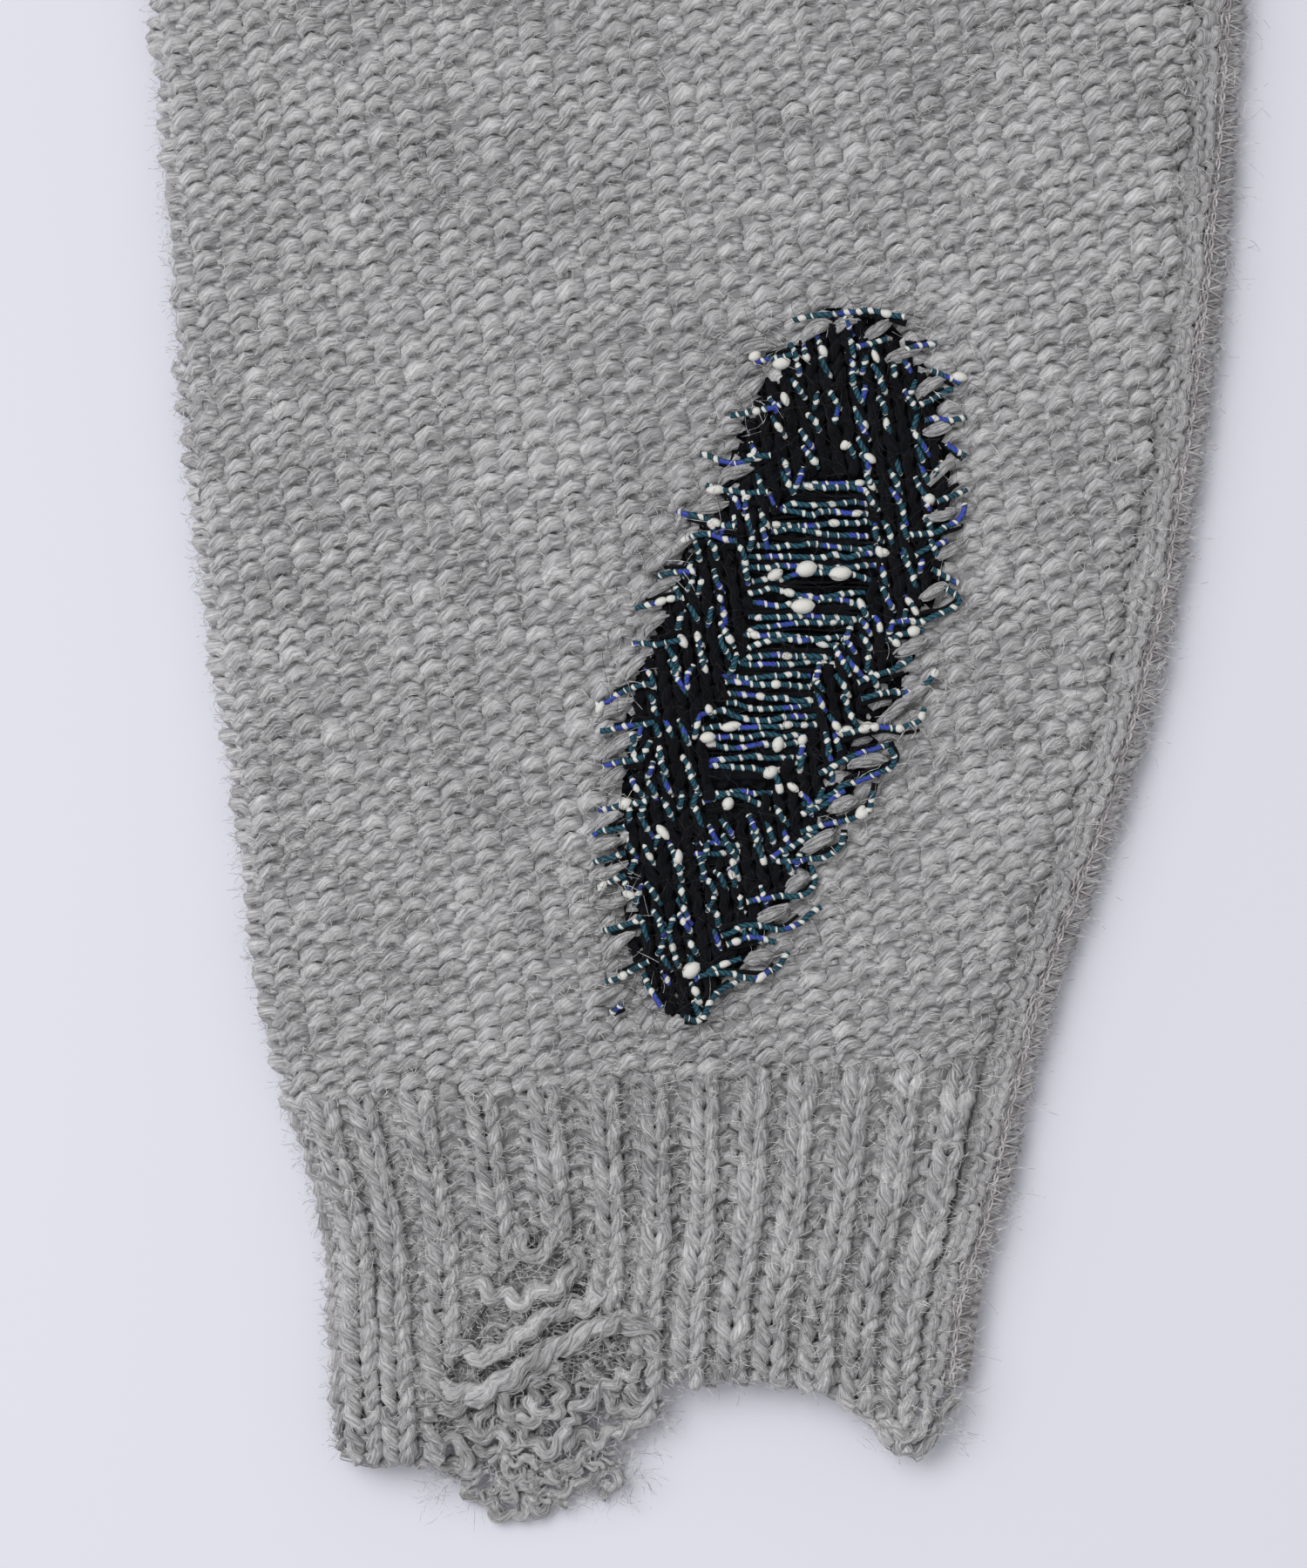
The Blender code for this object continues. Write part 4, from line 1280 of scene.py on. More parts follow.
    def build(self, finish: Material) -> dict[str, Object]:
        """Make the yarns.

        Returns:
            The ladders, the ravels and the edges.
        """
        rng = np.random.default_rng(self.seed)
        bundles = {name: YarnBundle(name) for name in ("run_ladders", "cuff_ravels", "cuff_edges")}
        self._rovings(bundles["run_ladders"], self.ladders, self.ladder_size, rng)
        self._rovings(bundles["cuff_ravels"], self.ravels, self.ravel_size, rng)
        self._tufts(bundles["cuff_ravels"], rng)
        self._rovings(bundles["cuff_edges"], self.edges, self.edge_size, rng)
        return {name: bundle.build(finish) for name, bundle in bundles.items()}

    def _rovings(self, bundle: YarnBundle, rows: tuple, size: tuple, rng: Rng) -> None:
        """Add a table's soft yarns, this many times thicker and with this crimp."""
        grow, crimp = size
        for radius, *places in rows:
            path = through(in_metres(places), 0.7 * MM)
            for points, own in roving(self.sleeve.lay_path(path), grow * radius * MM, rng, crimp):
                bundle.add(points, own)

    def _tufts(self, bundle: YarnBundle, rng: Rng) -> None:
        """Fill the ravelled place, which narrows downwards, with short curls of yarn that has come apart."""
        (left, bottom), (right, top) = self.tuft_area
        for _ in range(self.tufts):
            middle = np.array((rng.uniform(left, right), rng.uniform(bottom, top)))
            narrows = min(middle[1] + 6, 0)
            beside = narrows < 0 and not -36 - narrows * 0.4 < middle[0] < -2 + narrows * 0.5
            if beside or middle[1] > 8 and middle[0] < -30:
                continue
            heading = rng.uniform(-0.9, 0.9)
            way = np.array((math.cos(heading), math.sin(heading)))
            reach = np.linspace(-1, 1, 15) * rng.uniform(2, 4.5)
            curl = np.sin(reach * rng.uniform(1.2, 2.0) + rng.uniform(0, 6)) * rng.uniform(0.5, 1.3)
            flat = middle + reach[:, None] * way + curl[:, None] * np.array((-way[1], way[0]))
            depth = 4.4 + rng.uniform(-0.6, 1.6) + 0.12 * np.clip(middle[1], bottom, 3)
            radius = rng.uniform(0.22, 0.55) * MM
            height = np.maximum((depth + 0.5 * np.cos(reach * 1.7)) * MM, radius)
            bundle.add(self.sleeve.lay(flat[:, 0] * MM, flat[:, 1] * MM, height), radius)


@dataclass
class Overlock:
    """A sleeve's seam: the turned edge's loops, two lines of chain stitch, and serged loops beyond.

    Attributes:
        low, high: the places along the sleeve that it covers.
        drift: (along, away) rows: how much further out than the sleeve's edge the seam lies.
        rolls: the (away, radius, height) of each yarn that fills the roll.
        roll_step: how far apart the roll's arcs lie, in courses.
        chain_lines: how far out each line of chain stitch lies.
        outer: how far out the serged edge lies.
        stitch: the length of a chain stitch.
        cut_step: how far apart the cut ends lie.
    """

    sleeve: SleeveMap
    low: float = 0 * MM
    high: float = 256 * MM
    drift: tuple = ((0, -0.7), (60, -0.4), (145, -0.4), (180, -1.1), (240, -0.8))
    rolls: tuple = ((0.4, 1.2, 4.9), (2.6, 1.3, 5.6), (4.7, 1.2, 5.3))
    roll_step: float = 0.78
    chain_lines: tuple = (4.3 * MM, 5.7 * MM)
    outer: float = 8.9 * MM
    stitch: float = 2.3 * MM
    cut_step: float = 0.62 * MM
    seed: int = 31

    def build(self, wool: Material, thread: Material) -> dict[str, Object]:
        """Make the seam's wool loops and its threads."""
        rng = np.random.default_rng(self.seed)
        made = {"seam_roll": YarnBundle("seam_right_roll"), "seam_threads": YarnBundle("seam_right_threads")}
        self._roll(made["seam_roll"], rng)
        self._chains(made["seam_threads"], rng)
        self._cut_ends(made["seam_roll"], rng)
        self._loopers(made["seam_threads"], rng)
        return {name: bundle.build(wool if name == "seam_roll" else thread) for name, bundle in made.items()}

    def _lay(self, away: Array, along: Array, height: Array) -> Array:
        """Return places beside the seam as world points."""
        return self.sleeve.lay(self.sleeve.seam(along) + self._drift(along) + away, along, height)

    def _drift(self, along: Array) -> Array:
        """Return how much further out than the sleeve's edge the seam lies."""
        return smooth_table(in_metres(self.drift), along)

    def _roll(self, bundle: YarnBundle, rng: Rng) -> None:
        """Add the turned edge: nested arcs of yarn that bulge from the groove to the first chain."""
        along = np.arange(self.low, self.high, 2 * MM)
        for away, radius, height in self.rolls:
            bundle.add(self._lay(away * MM, along, height * MM), radius * MM)
        turn = np.linspace(0, math.pi, 8)
        bulge = np.sin(turn) ** 0.8
        for middle in np.arange(self.low, self.high, COURSE[1] * self.roll_step):
            middle = middle + rng.normal(0, 0.5) * MM
            edge = -self._drift(np.array([middle]))[0]
            start = edge + rng.uniform(-0.8, 0.5) * MM
            width = rng.uniform(3.3, 4.3) * MM - start
            tall = rng.uniform(1.5, 2.2) * MM
            top = rng.uniform(1.4, 2.5)
            for nested in (1.0, 0.45):
                away = start + width * bulge * nested + rng.normal(0, 0.15) * MM
                along = middle + tall * np.cos(turn) * (0.35 + 0.65 * nested) + 0.3 * away
                height = (5.6 + top * bulge * (1.15 - 0.3 * nested) + rng.normal(0, 0.15)) * MM
                radius = rng.uniform(0.85, 1.1) * MM * (0.65 + 0.35 * bulge)
                bundle.add(self._lay(away, along, height), radius)

    def _chains(self, bundle: YarnBundle, rng: Rng) -> None:
        """Add the lines of chain stitch, each of two threads that cross once a stitch."""
        along = np.arange(self.low + 1 * MM, self.high, 0.46 * MM)
        for number, line in enumerate(self.chain_lines):
            sway = 0.16 * MM * smooth_noise(rng, len(along), 30)
            for way in (-1, 1):
                wave = np.sin(TURN * along / (2 * self.stitch) + number)
                away = line + sway + way * 0.3 * MM * wave
                height = (7.0 - 0.4 * number) * MM + 0.35 * MM * np.cos(TURN * along / self.stitch + way)
                bundle.add(self._lay(away, along, height), 0.2 * MM)

    def _cut_ends(self, bundle: YarnBundle, rng: Rng) -> None:
        """Add the cut ends of wool that the loopers hold down."""
        share = np.linspace(0, 1, 5)
        for along in np.arange(self.low + 1 * MM, self.high, self.cut_step):
            reach = rng.uniform(3.2, 4.2) * MM
            away = rng.uniform(4.2, 4.8) * MM + share * reach
            height = (6.0 + rng.normal(0, 0.25) - 3.0 * share**1.8) * MM
            lean = rng.normal(0.9, 0.45) * MM * share + 0.4 * MM * np.sin(share * 5 + rng.uniform(0, 6))
            bundle.add(self._lay(away, along + lean, height), rng.uniform(0.55, 0.85) * MM)

    def _loopers(self, bundle: YarnBundle, rng: Rng) -> None:
        """Add the threads that slant over the cut ends and back."""
        share = np.linspace(0, 1, 5)
        inner = 5.5 * MM
        for number, along in enumerate(np.arange(self.low + 1 * MM, self.high, self.stitch / 2)):
            away = inner + (self.outer + rng.normal(-0.2, 0.2) * MM - inner) * share
            height = (6.5 - 3.4 * share**2) * MM
            slant = (share - 0.5) * rng.uniform(0.7, 1.6) * MM * (1 if number % 2 else -1)
            bundle.add(self._lay(away, along + slant, height), rng.uniform(0.12, 0.18) * MM)


@dataclass
class Darn:
    """The darn: columns of black wool loops, worked together with a slubbed yarn, over the worn hole.

    Attributes:
        first_course, last_course: the courses of black loops, the last left out.
        ladders: (along, left, right) of each pair of bars in the bare ladders that the slubbed yarn crosses.
        ladder_span: where along the ladders begin and end.
        ends: the yarn's turns along the darn's sides, each from the darn outwards.
        hooks: the longer turns at the lower right, each round a loop of the sleeve.
        large_slubs: (across, along, half length, half width, angle) of the largest slubs.
        grey_loops: (across, along) of the sleeve's own loops that stand between the turns.
        top: how high the middle of the black loops lies.
        slub_share: the share of the black loops that have a slubbed first leg on them.
        second_share: the share that have a second one.
        swollen: how often a stretch of the slubbed yarn swells into a white slub.
        knot_radii: the slubbed yarn's radius at a fleck's start, middle and end, and between flecks.
    """

    sleeve: SleeveMap
    shape: DarnShape
    first_course: int = 15
    last_course: int = 64
    ladders: tuple = (
        (156.2, 25, 37), (152.6, 21.5, 36.4), (148.6, 20.7, 36.5), (144.9, 17, 38.5), (141.3, 16.5, 37.5),
        (136.8, 16.5, 36.4), (133.2, 16.5, 35.4), (129.6, 16.5, 31.6), (126.2, 15.5, 30.6),
        (122.6, 12.5, 26.4), (119.2, 13.2, 27), (115.9, 7.6, 27.4), (112.5, 8.5, 26), (108.5, 9.7, 23),
        (102.6, 10, 18.8), (94, 6.7, 13.6),
    )
    ends: tuple = (
        ((43, 185.2), (36, 186.4), (30, 185.6), (24, 184.8)), ((24, 179), (17, 177.4)),
        ((22, 170), (13.2, 168.4)), ((20, 161.4), (13, 160.4), (8, 161.6)),
        ((20, 155), (14, 155.2), (8.9, 156.4)), ((14, 149), (4, 152)), ((14, 147), (7, 147.6), (3.4, 146)),
        ((7, 141.5), (0.3, 141)), ((4.5, 137), (-3.2, 135.6)), ((4.5, 129.6), (-3.6, 129)),
        ((0, 122.4), (-4, 121.4), (-9.6, 118.6)), ((0, 115.6), (-9.2, 114.4)), ((-1.6, 109.4), (-8.7, 108)),
        ((-1.4, 102), (-5, 101.4), (-9.4, 100.8)), ((-5, 98), (-10.5, 96.4)), ((-5, 93), (-10.3, 91.6)),
        ((-4.6, 89.4), (-9.6, 87)), ((-2.6, 81.6), (-8.7, 79.8)), ((-0.8, 74.4), (-8.4, 70.6)),
        ((1.4, 66.6), (-1.9, 72.4)), ((-5.4, 67), (-7.4, 65.6)), ((35, 180), (40, 181.6)),
        ((43, 179.6), (48.6, 181)), ((47.6, 176.4), (53, 173.8)), ((46, 170), (51.6, 173)),
        ((46.6, 167.6), (53.9, 168.2)), ((50, 163.4), (54, 161.4)), ((49, 153.6), (54, 155.6)),
        ((44, 147.6), (50, 149), (53.4, 151.6), (53.6, 153.4)), ((48, 141.8), (52.4, 139.8)),
        ((41.5, 132.6), (48, 133.6), (52.6, 136.8), (50, 139)), ((40.4, 129.8), (46.4, 131.6)),
        ((45, 144.6), (50.6, 146.6)),
    )
    hooks: tuple = (
        ((35.6, 119.4), (40, 120.8), (43.8, 120.8), (49.2, 124.9)),
        ((35, 122.6), (40, 124.2), (44.4, 126.6)),
        ((32, 113.6), (38.2, 114.8), (43, 114.6), (46.2, 115.6), (46.4, 118)),
        ((28.3, 106.6), (34, 109.6), (40.8, 111.8)),
        ((40.8, 111.4), (41.6, 109), (39.5, 107.2), (32.6, 104.9), (27, 101)),
        ((37.8, 104), (37.4, 101.2), (34, 99), (29.6, 98), (25.2, 96.6)),
        ((25.6, 99.6), (29, 101.4), (33, 104)), ((20, 92.2), (24.4, 94.6), (28, 97)),
        ((32.6, 96.6), (32.2, 94), (29.6, 92.4), (25, 91.8), (20.4, 91.6)),
        ((16, 84.8), (21, 85.5), (25.3, 85.9), (27.6, 88.2), (27, 90.8)),
        ((11.6, 79), (16.6, 80.9), (22.3, 79.9), (26.6, 82.4), (28.6, 84)),
        ((12.6, 77.2), (17, 78.6), (21, 77.8)),
        ((7.4, 72.4), (12, 72.2), (17.5, 71.6), (21, 73.2), (23.4, 76)), ((9.2, 72.8), (14.9, 75.2)),
        ((8.6, 64.4), (9.8, 67.8), (12, 70), (14.6, 71.4)), ((5.4, 65.2), (8, 64.4), (9.6, 66)),
    )
    large_slubs: tuple = (
        (26.3, 142, 1.9, 1.4, 15), (32.1, 141.2, 2, 1.3, 8), (25.7, 135.6, 2.1, 1.35, 5),
        (20.9, 141, 1.5, 0.95, 30), (6.5, 73, 1.8, 1.35, 40), (17.4, 178.6, 1.15, 0.9, 30),
        (22, 177.4, 1.6, 1.15, 15), (33, 163.4, 1.1, 0.9, 50), (37.2, 161, 1.2, 0.8, -35),
        (17.4, 161.2, 1.4, 0.8, -15), (10.6, 155.6, 1.6, 0.9, 5), (47.4, 154, 0.95, 1.1, 80),
        (22.6, 171.2, 1.3, 0.75, -70), (39.4, 144.8, 1.2, 0.8, -5), (44.7, 131.3, 1.2, 1, 20),
        (5, 129.6, 1.4, 0.8, -60), (9.3, 113, 1.4, 1, 10), (13.3, 114.9, 1.8, 0.85, 12),
        (21.4, 111.8, 1.4, 1, 75), (20.1, 107, 1.4, 1.05, 35), (25.6, 112.6, 1, 0.8, 60),
        (36.5, 114.7, 1.4, 0.95, 30), (33, 114.2, 1.3, 0.8, 20), (12.8, 101.6, 1.2, 1, 60),
        (1.6, 96.7, 1.6, 0.85, -50), (4.2, 92.4, 1.4, 0.85, 85), (-4.9, 101.6, 1.3, 1, 30),
        (24, 104.4, 1.2, 0.7, -35), (35.6, 100.2, 1.3, 0.8, 60), (52.6, 175, 1.4, 0.9, -10),
        (-9.2, 118.2, 1.2, 0.7, 60), (-4.2, 86, 1.2, 0.8, -20),
    )
    grey_loops: tuple = (
        (17.9, 180.2), (16.6, 173), (12.6, 165.4), (14.4, 158.6), (9.6, 152.6), (5.2, 146.6), (1, 143.6),
        (1.4, 138.8), (0.4, 132.6), (-2.9, 125.4), (-6.4, 118.2), (-5.6, 111.6), (-6.8, 106), (-7.7, 99),
        (-8.2, 94.6), (-7.2, 90.2), (-7.2, 84.6), (-6, 77.4), (-7.9, 68.6), (28, 183), (32.6, 183.6),
        (38.4, 183.2), (43.2, 179), (48, 173.4), (48.9, 166.2), (49.8, 159), (49.4, 151.2), (51.2, 145.4),
        (48.4, 138.2), (44.2, 128.6), (45, 120.6), (36.8, 108.8), (32.4, 101.4), (28.2, 95), (24.6, 87.6),
        (18.2, 75.2), (20, 82.6), (41.6, 117.6),
    )
    ladder_span: tuple = (100 * MM, 158 * MM)
    top: float = 8.5
    slub_share: float = 0.82
    second_share: float = 0.27
    swollen: float = 0.10
    knot_radii: tuple = (0.50, 0.60, 0.50, 0.47)
    seed: int = 53

    def build(self, black: Material, slubs: Material, grey: Material) -> dict:
        """Make the darn's columns, its slubbed yarn and the sleeve's loops round it."""
        rng = np.random.default_rng(self.seed)
        columns, slubbed = YarnBundle("darn_columns"), YarnBundle("darn_slubbed_yarn")
        loops = YarnBundle("darn_grey_loops")
        for course in range(self.first_course, self.last_course):
            self._course(course, columns, rng)
            self._legs(course, slubbed, rng)
        for ladder in self.ladders:
            self._bars(ladder, slubbed, columns, rng)
        for turn in (*self.ends, *self.hooks):
            self._turn(turn, slubbed, columns, rng)
        for slub in self.large_slubs:
            self._large_slub(slub, slubbed)
        for place in self.grey_loops:
            self._grey_loop(place, loops, rng)
        return {"columns": columns.build(black), "slubbed": slubbed.build(slubs), "loops": loops.build(grey)}

    def in_ladder(self, across: Array, along: Array) -> Array:
        """Return whether places lie in a ladder."""
        left, right = sides_at(self.ladders[::-1], along)
        level = (along > self.ladder_span[0]) & (along < self.ladder_span[1])
        return level & (across > left) & (across < right)

    def _course(self, course: int, bundle: YarnBundle, rng: Rng) -> None:
        """Add one course of black loops, right side up, left out over the ladders."""
        first, last, each = 1, 18, 10
        turn = np.linspace(first, last, (last - first) * each + 1)
        phase = turn * TURN
        neck, crown, stand = own_values(rng, 3, turn, first, last)
        wide = turn + 0.22 * (1 + 0.2 * neck) * np.sin(2 * phase)
        tall = 0.85 * (1 + 0.12 * crown) * np.cos(phase)
        across = wide * STITCH[0] + (course + tall) * COURSE[0]
        along = wide * STITCH[1] + (course + tall) * COURSE[1]
        height = (self.top + 0.35 * stand - 0.7 * np.cos(2 * phase)) * MM
        radius = 0.92 * MM * (1 + 0.14 * smooth_noise(rng, len(turn), 9))
        inside = self.shape.covers(across, along, rng.uniform(-0.9, 0.5) * MM)
        inside &= ~self.in_ladder(across, along)
        points = self.sleeve.lay(across, along, height)
        for part in pieces_inside(inside):
            bundle.add(points[part], radius[part])

    def _legs(self, course: int, bundle: YarnBundle, rng: Rng) -> None:
        """Add the slubbed yarn's short slanted legs, one to most of a course's loops."""
        for leg in range(-2, 38):
            first = leg % 2 == 0
            stitch = (leg - (0.5 if first else 0.62)) / 2 + rng.normal(0, 0.05)
            middle = np.array((stitch, course + rng.normal(0, 0.16))) @ (STITCH, COURSE)
            place = middle[:1], middle[1:]
            missing = rng.random() > (self.slub_share if first else self.second_share)
            if missing or not self.shape.covers(*place, 0.4 * MM)[0] or self.in_ladder(*place)[0]:
                continue
            across, along = middle / MM
            reach = rng.uniform(1.3, 2.2)
            lean = rng.uniform(0.25, 0.65) * (1 if rng.random() < (0.85 if first else 0.5) else -0.7)
            start = (across - lean * reach, along + reach, self.top + 0.6)
            end = (across + lean * reach, along - reach, self.top + 0.5)
            self._slubbed([start, (across, along, self.top + 1.8), end], bundle, rng)

    def _bars(self, ladder: tuple, slubbed: YarnBundle, black: YarnBundle, rng: Rng) -> None:
        """Add a pair of bars that cross a ladder, with black wool below them."""
        along, left, right = ladder
        count = max(3, int((right - left) / 4.5) + 1)
        for offset in (0.72, -0.72):
            ends = left - rng.uniform(0.2, 1.8), right + rng.uniform(0.0, 1.8)
            rows = []
            for place in np.linspace(*ends, count):
                rows.append((place, along + offset + rng.normal(0, 0.5), 9.4 + rng.normal(0, 0.4)))
            rows[0] = (rows[0][0], rows[0][1], 8.6)
            rows[-1] = (rows[-1][0], rows[-1][1], 8.6)
            self._slubbed(rows, slubbed, rng)
        for offset in (-2.2, -1.6):
            places = np.linspace(left - 1, right + 1, count)
            rows = [(place, along + offset + rng.normal(0, 0.25), 8.3) for place in places]
            black.add(self.sleeve.lay_path(through(in_metres(rows), 0.8 * MM)), 0.6 * MM)

    def _turn(self, places: tuple, slubbed: YarnBundle, black: YarnBundle, rng: Rng) -> None:
        """Add one turn at the darn's side: the slubbed yarn with black wool beside it."""
        last = len(places) - 1
        rows = [(*place, 10.5 - 0.7 * number / last) for number, place in enumerate(places)]
        self._slubbed(rows, slubbed, rng)
        beside = np.array(rows) + (0.1, rng.choice((-1, 1)) * 0.85, -0.6)
        path = through(beside * MM, 0.7 * MM)
        path[:, :2] += 0.3 * MM * np.c_[smooth_noise(rng, len(path), 4), smooth_noise(rng, len(path), 4)]
        path = path[: max(3, int(0.8 * len(path)))]
        black.add(self.sleeve.lay_path(path), np.linspace(0.6, 0.3, len(path)) * MM)

    def _slubbed(self, rows: Sequence[tuple], bundle: YarnBundle, rng: Rng) -> None:
        """Add slubbed yarn through these places: flecks, bound stretches between them, and a few slubs."""
        path = through(in_metres(rows), 0.3 * MM)
        path[:, :2] += 0.18 * MM * np.c_[smooth_noise(rng, len(path), 7), smooth_noise(rng, len(path), 7)]
        reach = lengths_of(path) / MM
        at, knots = -rng.uniform(0, 1.2), []
        while at < reach[-1]:
            fleck = rng.uniform(0.5, 1.15)
            bound = rng.uniform(1.6, 3.2) if rng.random() < 0.3 else rng.uniform(0.6, 1.4)
            knots += [at, at + fleck / 2, at + fleck, at + fleck + bound / 2]
            at += fleck + bound
            if rng.random() < self.swollen and 0.8 < at < reach[-1] - 0.8:
                self._swell(path, at, bundle, rng)
        knots.append(at)
        radius = np.resize(self.knot_radii, len(knots)) * rng.uniform(0.94, 1.1, len(knots)) * MM
        marks = rng.integers(1, 400) + np.arange(len(knots)) / 4
        at = np.unique(np.clip(knots, 0, reach[-1]))
        points = self.sleeve.lay(*(np.interp(at, reach, values) for values in path.T))
        bundle.add(points, np.interp(at, knots, radius), np.interp(at, knots, marks))

    def _swell(self, path: Array, at: float, bundle: YarnBundle, rng: Rng) -> None:
        """Add a white slub around the yarn, this many millimetres along it."""
        spot = min(np.searchsorted(lengths_of(path) / MM, at), len(path) - 2)
        way = (path[spot + 1] - path[spot]) / MM
        angle = math.degrees(math.atan2(way[1], way[0])) + rng.normal(0, 8)
        size = rng.uniform(0.8, 1.25), rng.uniform(0.56, 0.78)
        across, along, height = path[spot] / MM
        self._large_slub((across, along, *size, angle), bundle, height + 0.12)

    def _large_slub(self, slub: tuple, bundle: YarnBundle, middle: float | None = None) -> None:
        """Add one white slub, pointed at both ends, with its middle this high or else on top of the darn."""
        across, along, half_length, half_width, angle = slub
        share = np.linspace(-1, 1, 9)
        way = np.array((math.cos(math.radians(angle)), math.sin(math.radians(angle))))
        flat = ((across, along) + share[:, None] * half_length * way) * MM
        radius = np.clip(half_width * (1 - share**2) ** 0.55, 0.12, None) * MM
        height = (middle or self.top + 1.3 + 0.35 * half_width) * MM
        all_white = share - 4
        bundle.add(self.sleeve.lay(flat[:, 0], flat[:, 1], height), radius, all_white)

    def _grey_loop(self, place: tuple, bundle: YarnBundle, rng: Rng) -> None:
        """Add one of the sleeve's loops that the darn has pulled up: a full core with strands round it."""
        strands, core_height, strand_height = 9, 9.2, 9.3
        angle = math.radians(rng.uniform(10, 45))
        way = np.array((math.cos(angle), math.sin(angle)))
        side = np.array((-way[1], way[0]))
        share = np.linspace(-1, 1, 8)
        swell = (1 - share**2) ** 0.5
        reach, width, bow = rng.uniform(2.2, 3.2), rng.uniform(0.95, 1.35), rng.uniform(-0.3, 1.0)
        middle = (place + share[:, None] * reach * way + (bow * (swell - 0.5))[:, None] * side) * MM
        core = self.sleeve.lay(middle[:, 0], middle[:, 1], (core_height + 0.5 * swell) * MM)
        bundle.add(core, width * (0.25 + 0.6 * swell) * MM)
        for strand in range(strands):
            spin = TURN * strand / strands + rng.uniform(-0.4, 1.3) * share
            out = width * rng.uniform(0.6, 1.05) * (0.3 + 0.7 * swell)
            flat = place + share[:, None] * reach * rng.uniform(0.85, 1.25) * way
            flat = (flat + (out * np.cos(spin) + bow * (swell - 0.5))[:, None] * side) * MM
            height = (strand_height + 0.5 * swell + 0.8 * out * np.sin(spin)) * MM
            bundle.add(self.sleeve.lay(flat[:, 0], flat[:, 1], height), rng.uniform(0.12, 0.28) * MM)


@dataclass
class Fuzz:
    """Loose hairs that stand off the wool, as flat ribbons. Places and sizes here are in millimetres.

    Attributes:
        hairs, edge_hairs, cuff_hairs: how many lie over the cloth, along its edges and round the worn cuff.
        darn_hairs, black_hairs: how many grey ones lie at the darn's sides, and black ones on it.
        top: the place along the sleeve where they end.
        darn_span: the places along the sleeve between which the darn has them.
        seam_width: how far the seam reaches past the sleeve's edge.
        keep_off: how far left of the darn the cloth's hairs begin, so that they don't cross it.
    """

    sleeve: SleeveMap
    darn: DarnShape
    hairs: int = 17000
    edge_hairs: int = 1400
    cuff_hairs: int = 2600
    darn_hairs: int = 240
    black_hairs: int = 1100
    top: float = 245
    darn_span: tuple = (64, 187)
    seam_width: float = 7
    keep_off: float = 3
    seed: int = 41

    def build(self, grey: Material, black: Material) -> list[Object]:
        """Make the hairs over the cloth, along its edges, round the ravelled cuff and on the darn."""
        rng = np.random.default_rng(self.seed)
        names = ("fuzz_1", "fuzz_2", "fuzz_3", "fuzz_darn")
        cloth, more_cloth, rest, darkest = (YarnBundle(name, ribbon=True) for name in names)
        self._over_cloth((cloth, more_cloth), rng)
        self._along_edges(rest, rng)
        self._round_cuff(rest, rng)
        self._on_darn(rest, darkest, rng)
        return [bundle.build(grey) for bundle in (cloth, more_cloth, rest)] + [darkest.build(black)]

    def _over_cloth(self, bundles: tuple[YarnBundle, YarnBundle], rng: Rng) -> None:
        """Add the hairs over the cloth, by turns to two bundles."""
        for number in range(self.hairs):
            along = rng.uniform(-9, self.top)
            across = rng.uniform(self._fold(along), self._seam(along) + self.seam_width)
            if self._bare(across, along) or self._bare(across + self.keep_off, along):
                continue
            lie = rng.normal(0.16, 0.5), rng.uniform(1.6, 5.5), rng.uniform(8.0, 9.3)
            self._hair(bundles[number % 2], (across, along), lie, rng)

    def _along_edges(self, bundle: YarnBundle, rng: Rng) -> None:
        """Add the hairs along the fold and the seam."""
        for _ in range(self.edge_hairs):
            along = rng.uniform(-10, self.top)
            left = rng.random() < 0.85
            across = self._fold(along) + 0.8 if left else self._seam(along) + self.seam_width
            heading = (math.pi if left else 0.0) + rng.normal(0, 0.8)
            self._hair(bundle, (across, along), (heading, rng.uniform(0.8, 2.8), rng.uniform(3, 6)), rng)

    def _round_cuff(self, bundle: YarnBundle, rng: Rng) -> None:
        """Add the hairs round the ravelled place, which narrows downwards."""
        for _ in range(self.cuff_hairs):
            across, along = rng.uniform(-40, 2), rng.uniform(-19, 26)
            if across + 20 > 24 + along * 0.4 or -across - 20 > 24 + along * 0.3:
                continue
            height = 4.4 + 0.13 * along + rng.uniform(-0.5, 2.2)
            self._hair(bundle, (across, along), (rng.uniform(0, 6.3), rng.uniform(1.6, 5.0), height), rng)

    def _on_darn(self, grey: YarnBundle, black: YarnBundle, rng: Rng) -> None:
        """Add grey hairs at the darn's sides and black ones all over it."""
        for number in range(self.darn_hairs):
            along = rng.uniform(*self.darn_span)
            across = self._darn_sides(along)[number % 2] + rng.normal(0, 2.6)
            lie = rng.normal(0.2, 0.9), rng.uniform(2.0, 5.5), rng.uniform(9.6, 10.8)
            self._hair(grey, (across, along), lie, rng)
        for _ in range(self.black_hairs):
            along = rng.uniform(*self.darn_span)
            left, right = self._darn_sides(along)
            across = rng.uniform(left - 1, right + 1)
            lie = rng.uniform(0, 6.3), rng.uniform(2, 6.5), rng.uniform(9.2, 11)
            self._hair(black, (across, along), lie, rng)

    def _fold(self, along: float) -> float:
        """Return where the folded edge lies."""
        return float(self.sleeve.fold(np.array([along * MM]))[0] / MM)

    def _seam(self, along: float) -> float:
        """Return where the seam lies."""
        return float(self.sleeve.seam(np.array([along * MM]))[0] / MM)

    def _darn_sides(self, along: float) -> tuple[float, float]:
        """Return where the darn's sides lie."""
        left, right = self.darn.sides(np.array([along * MM]))
        return float(left[0] / MM), float(right[0] / MM)

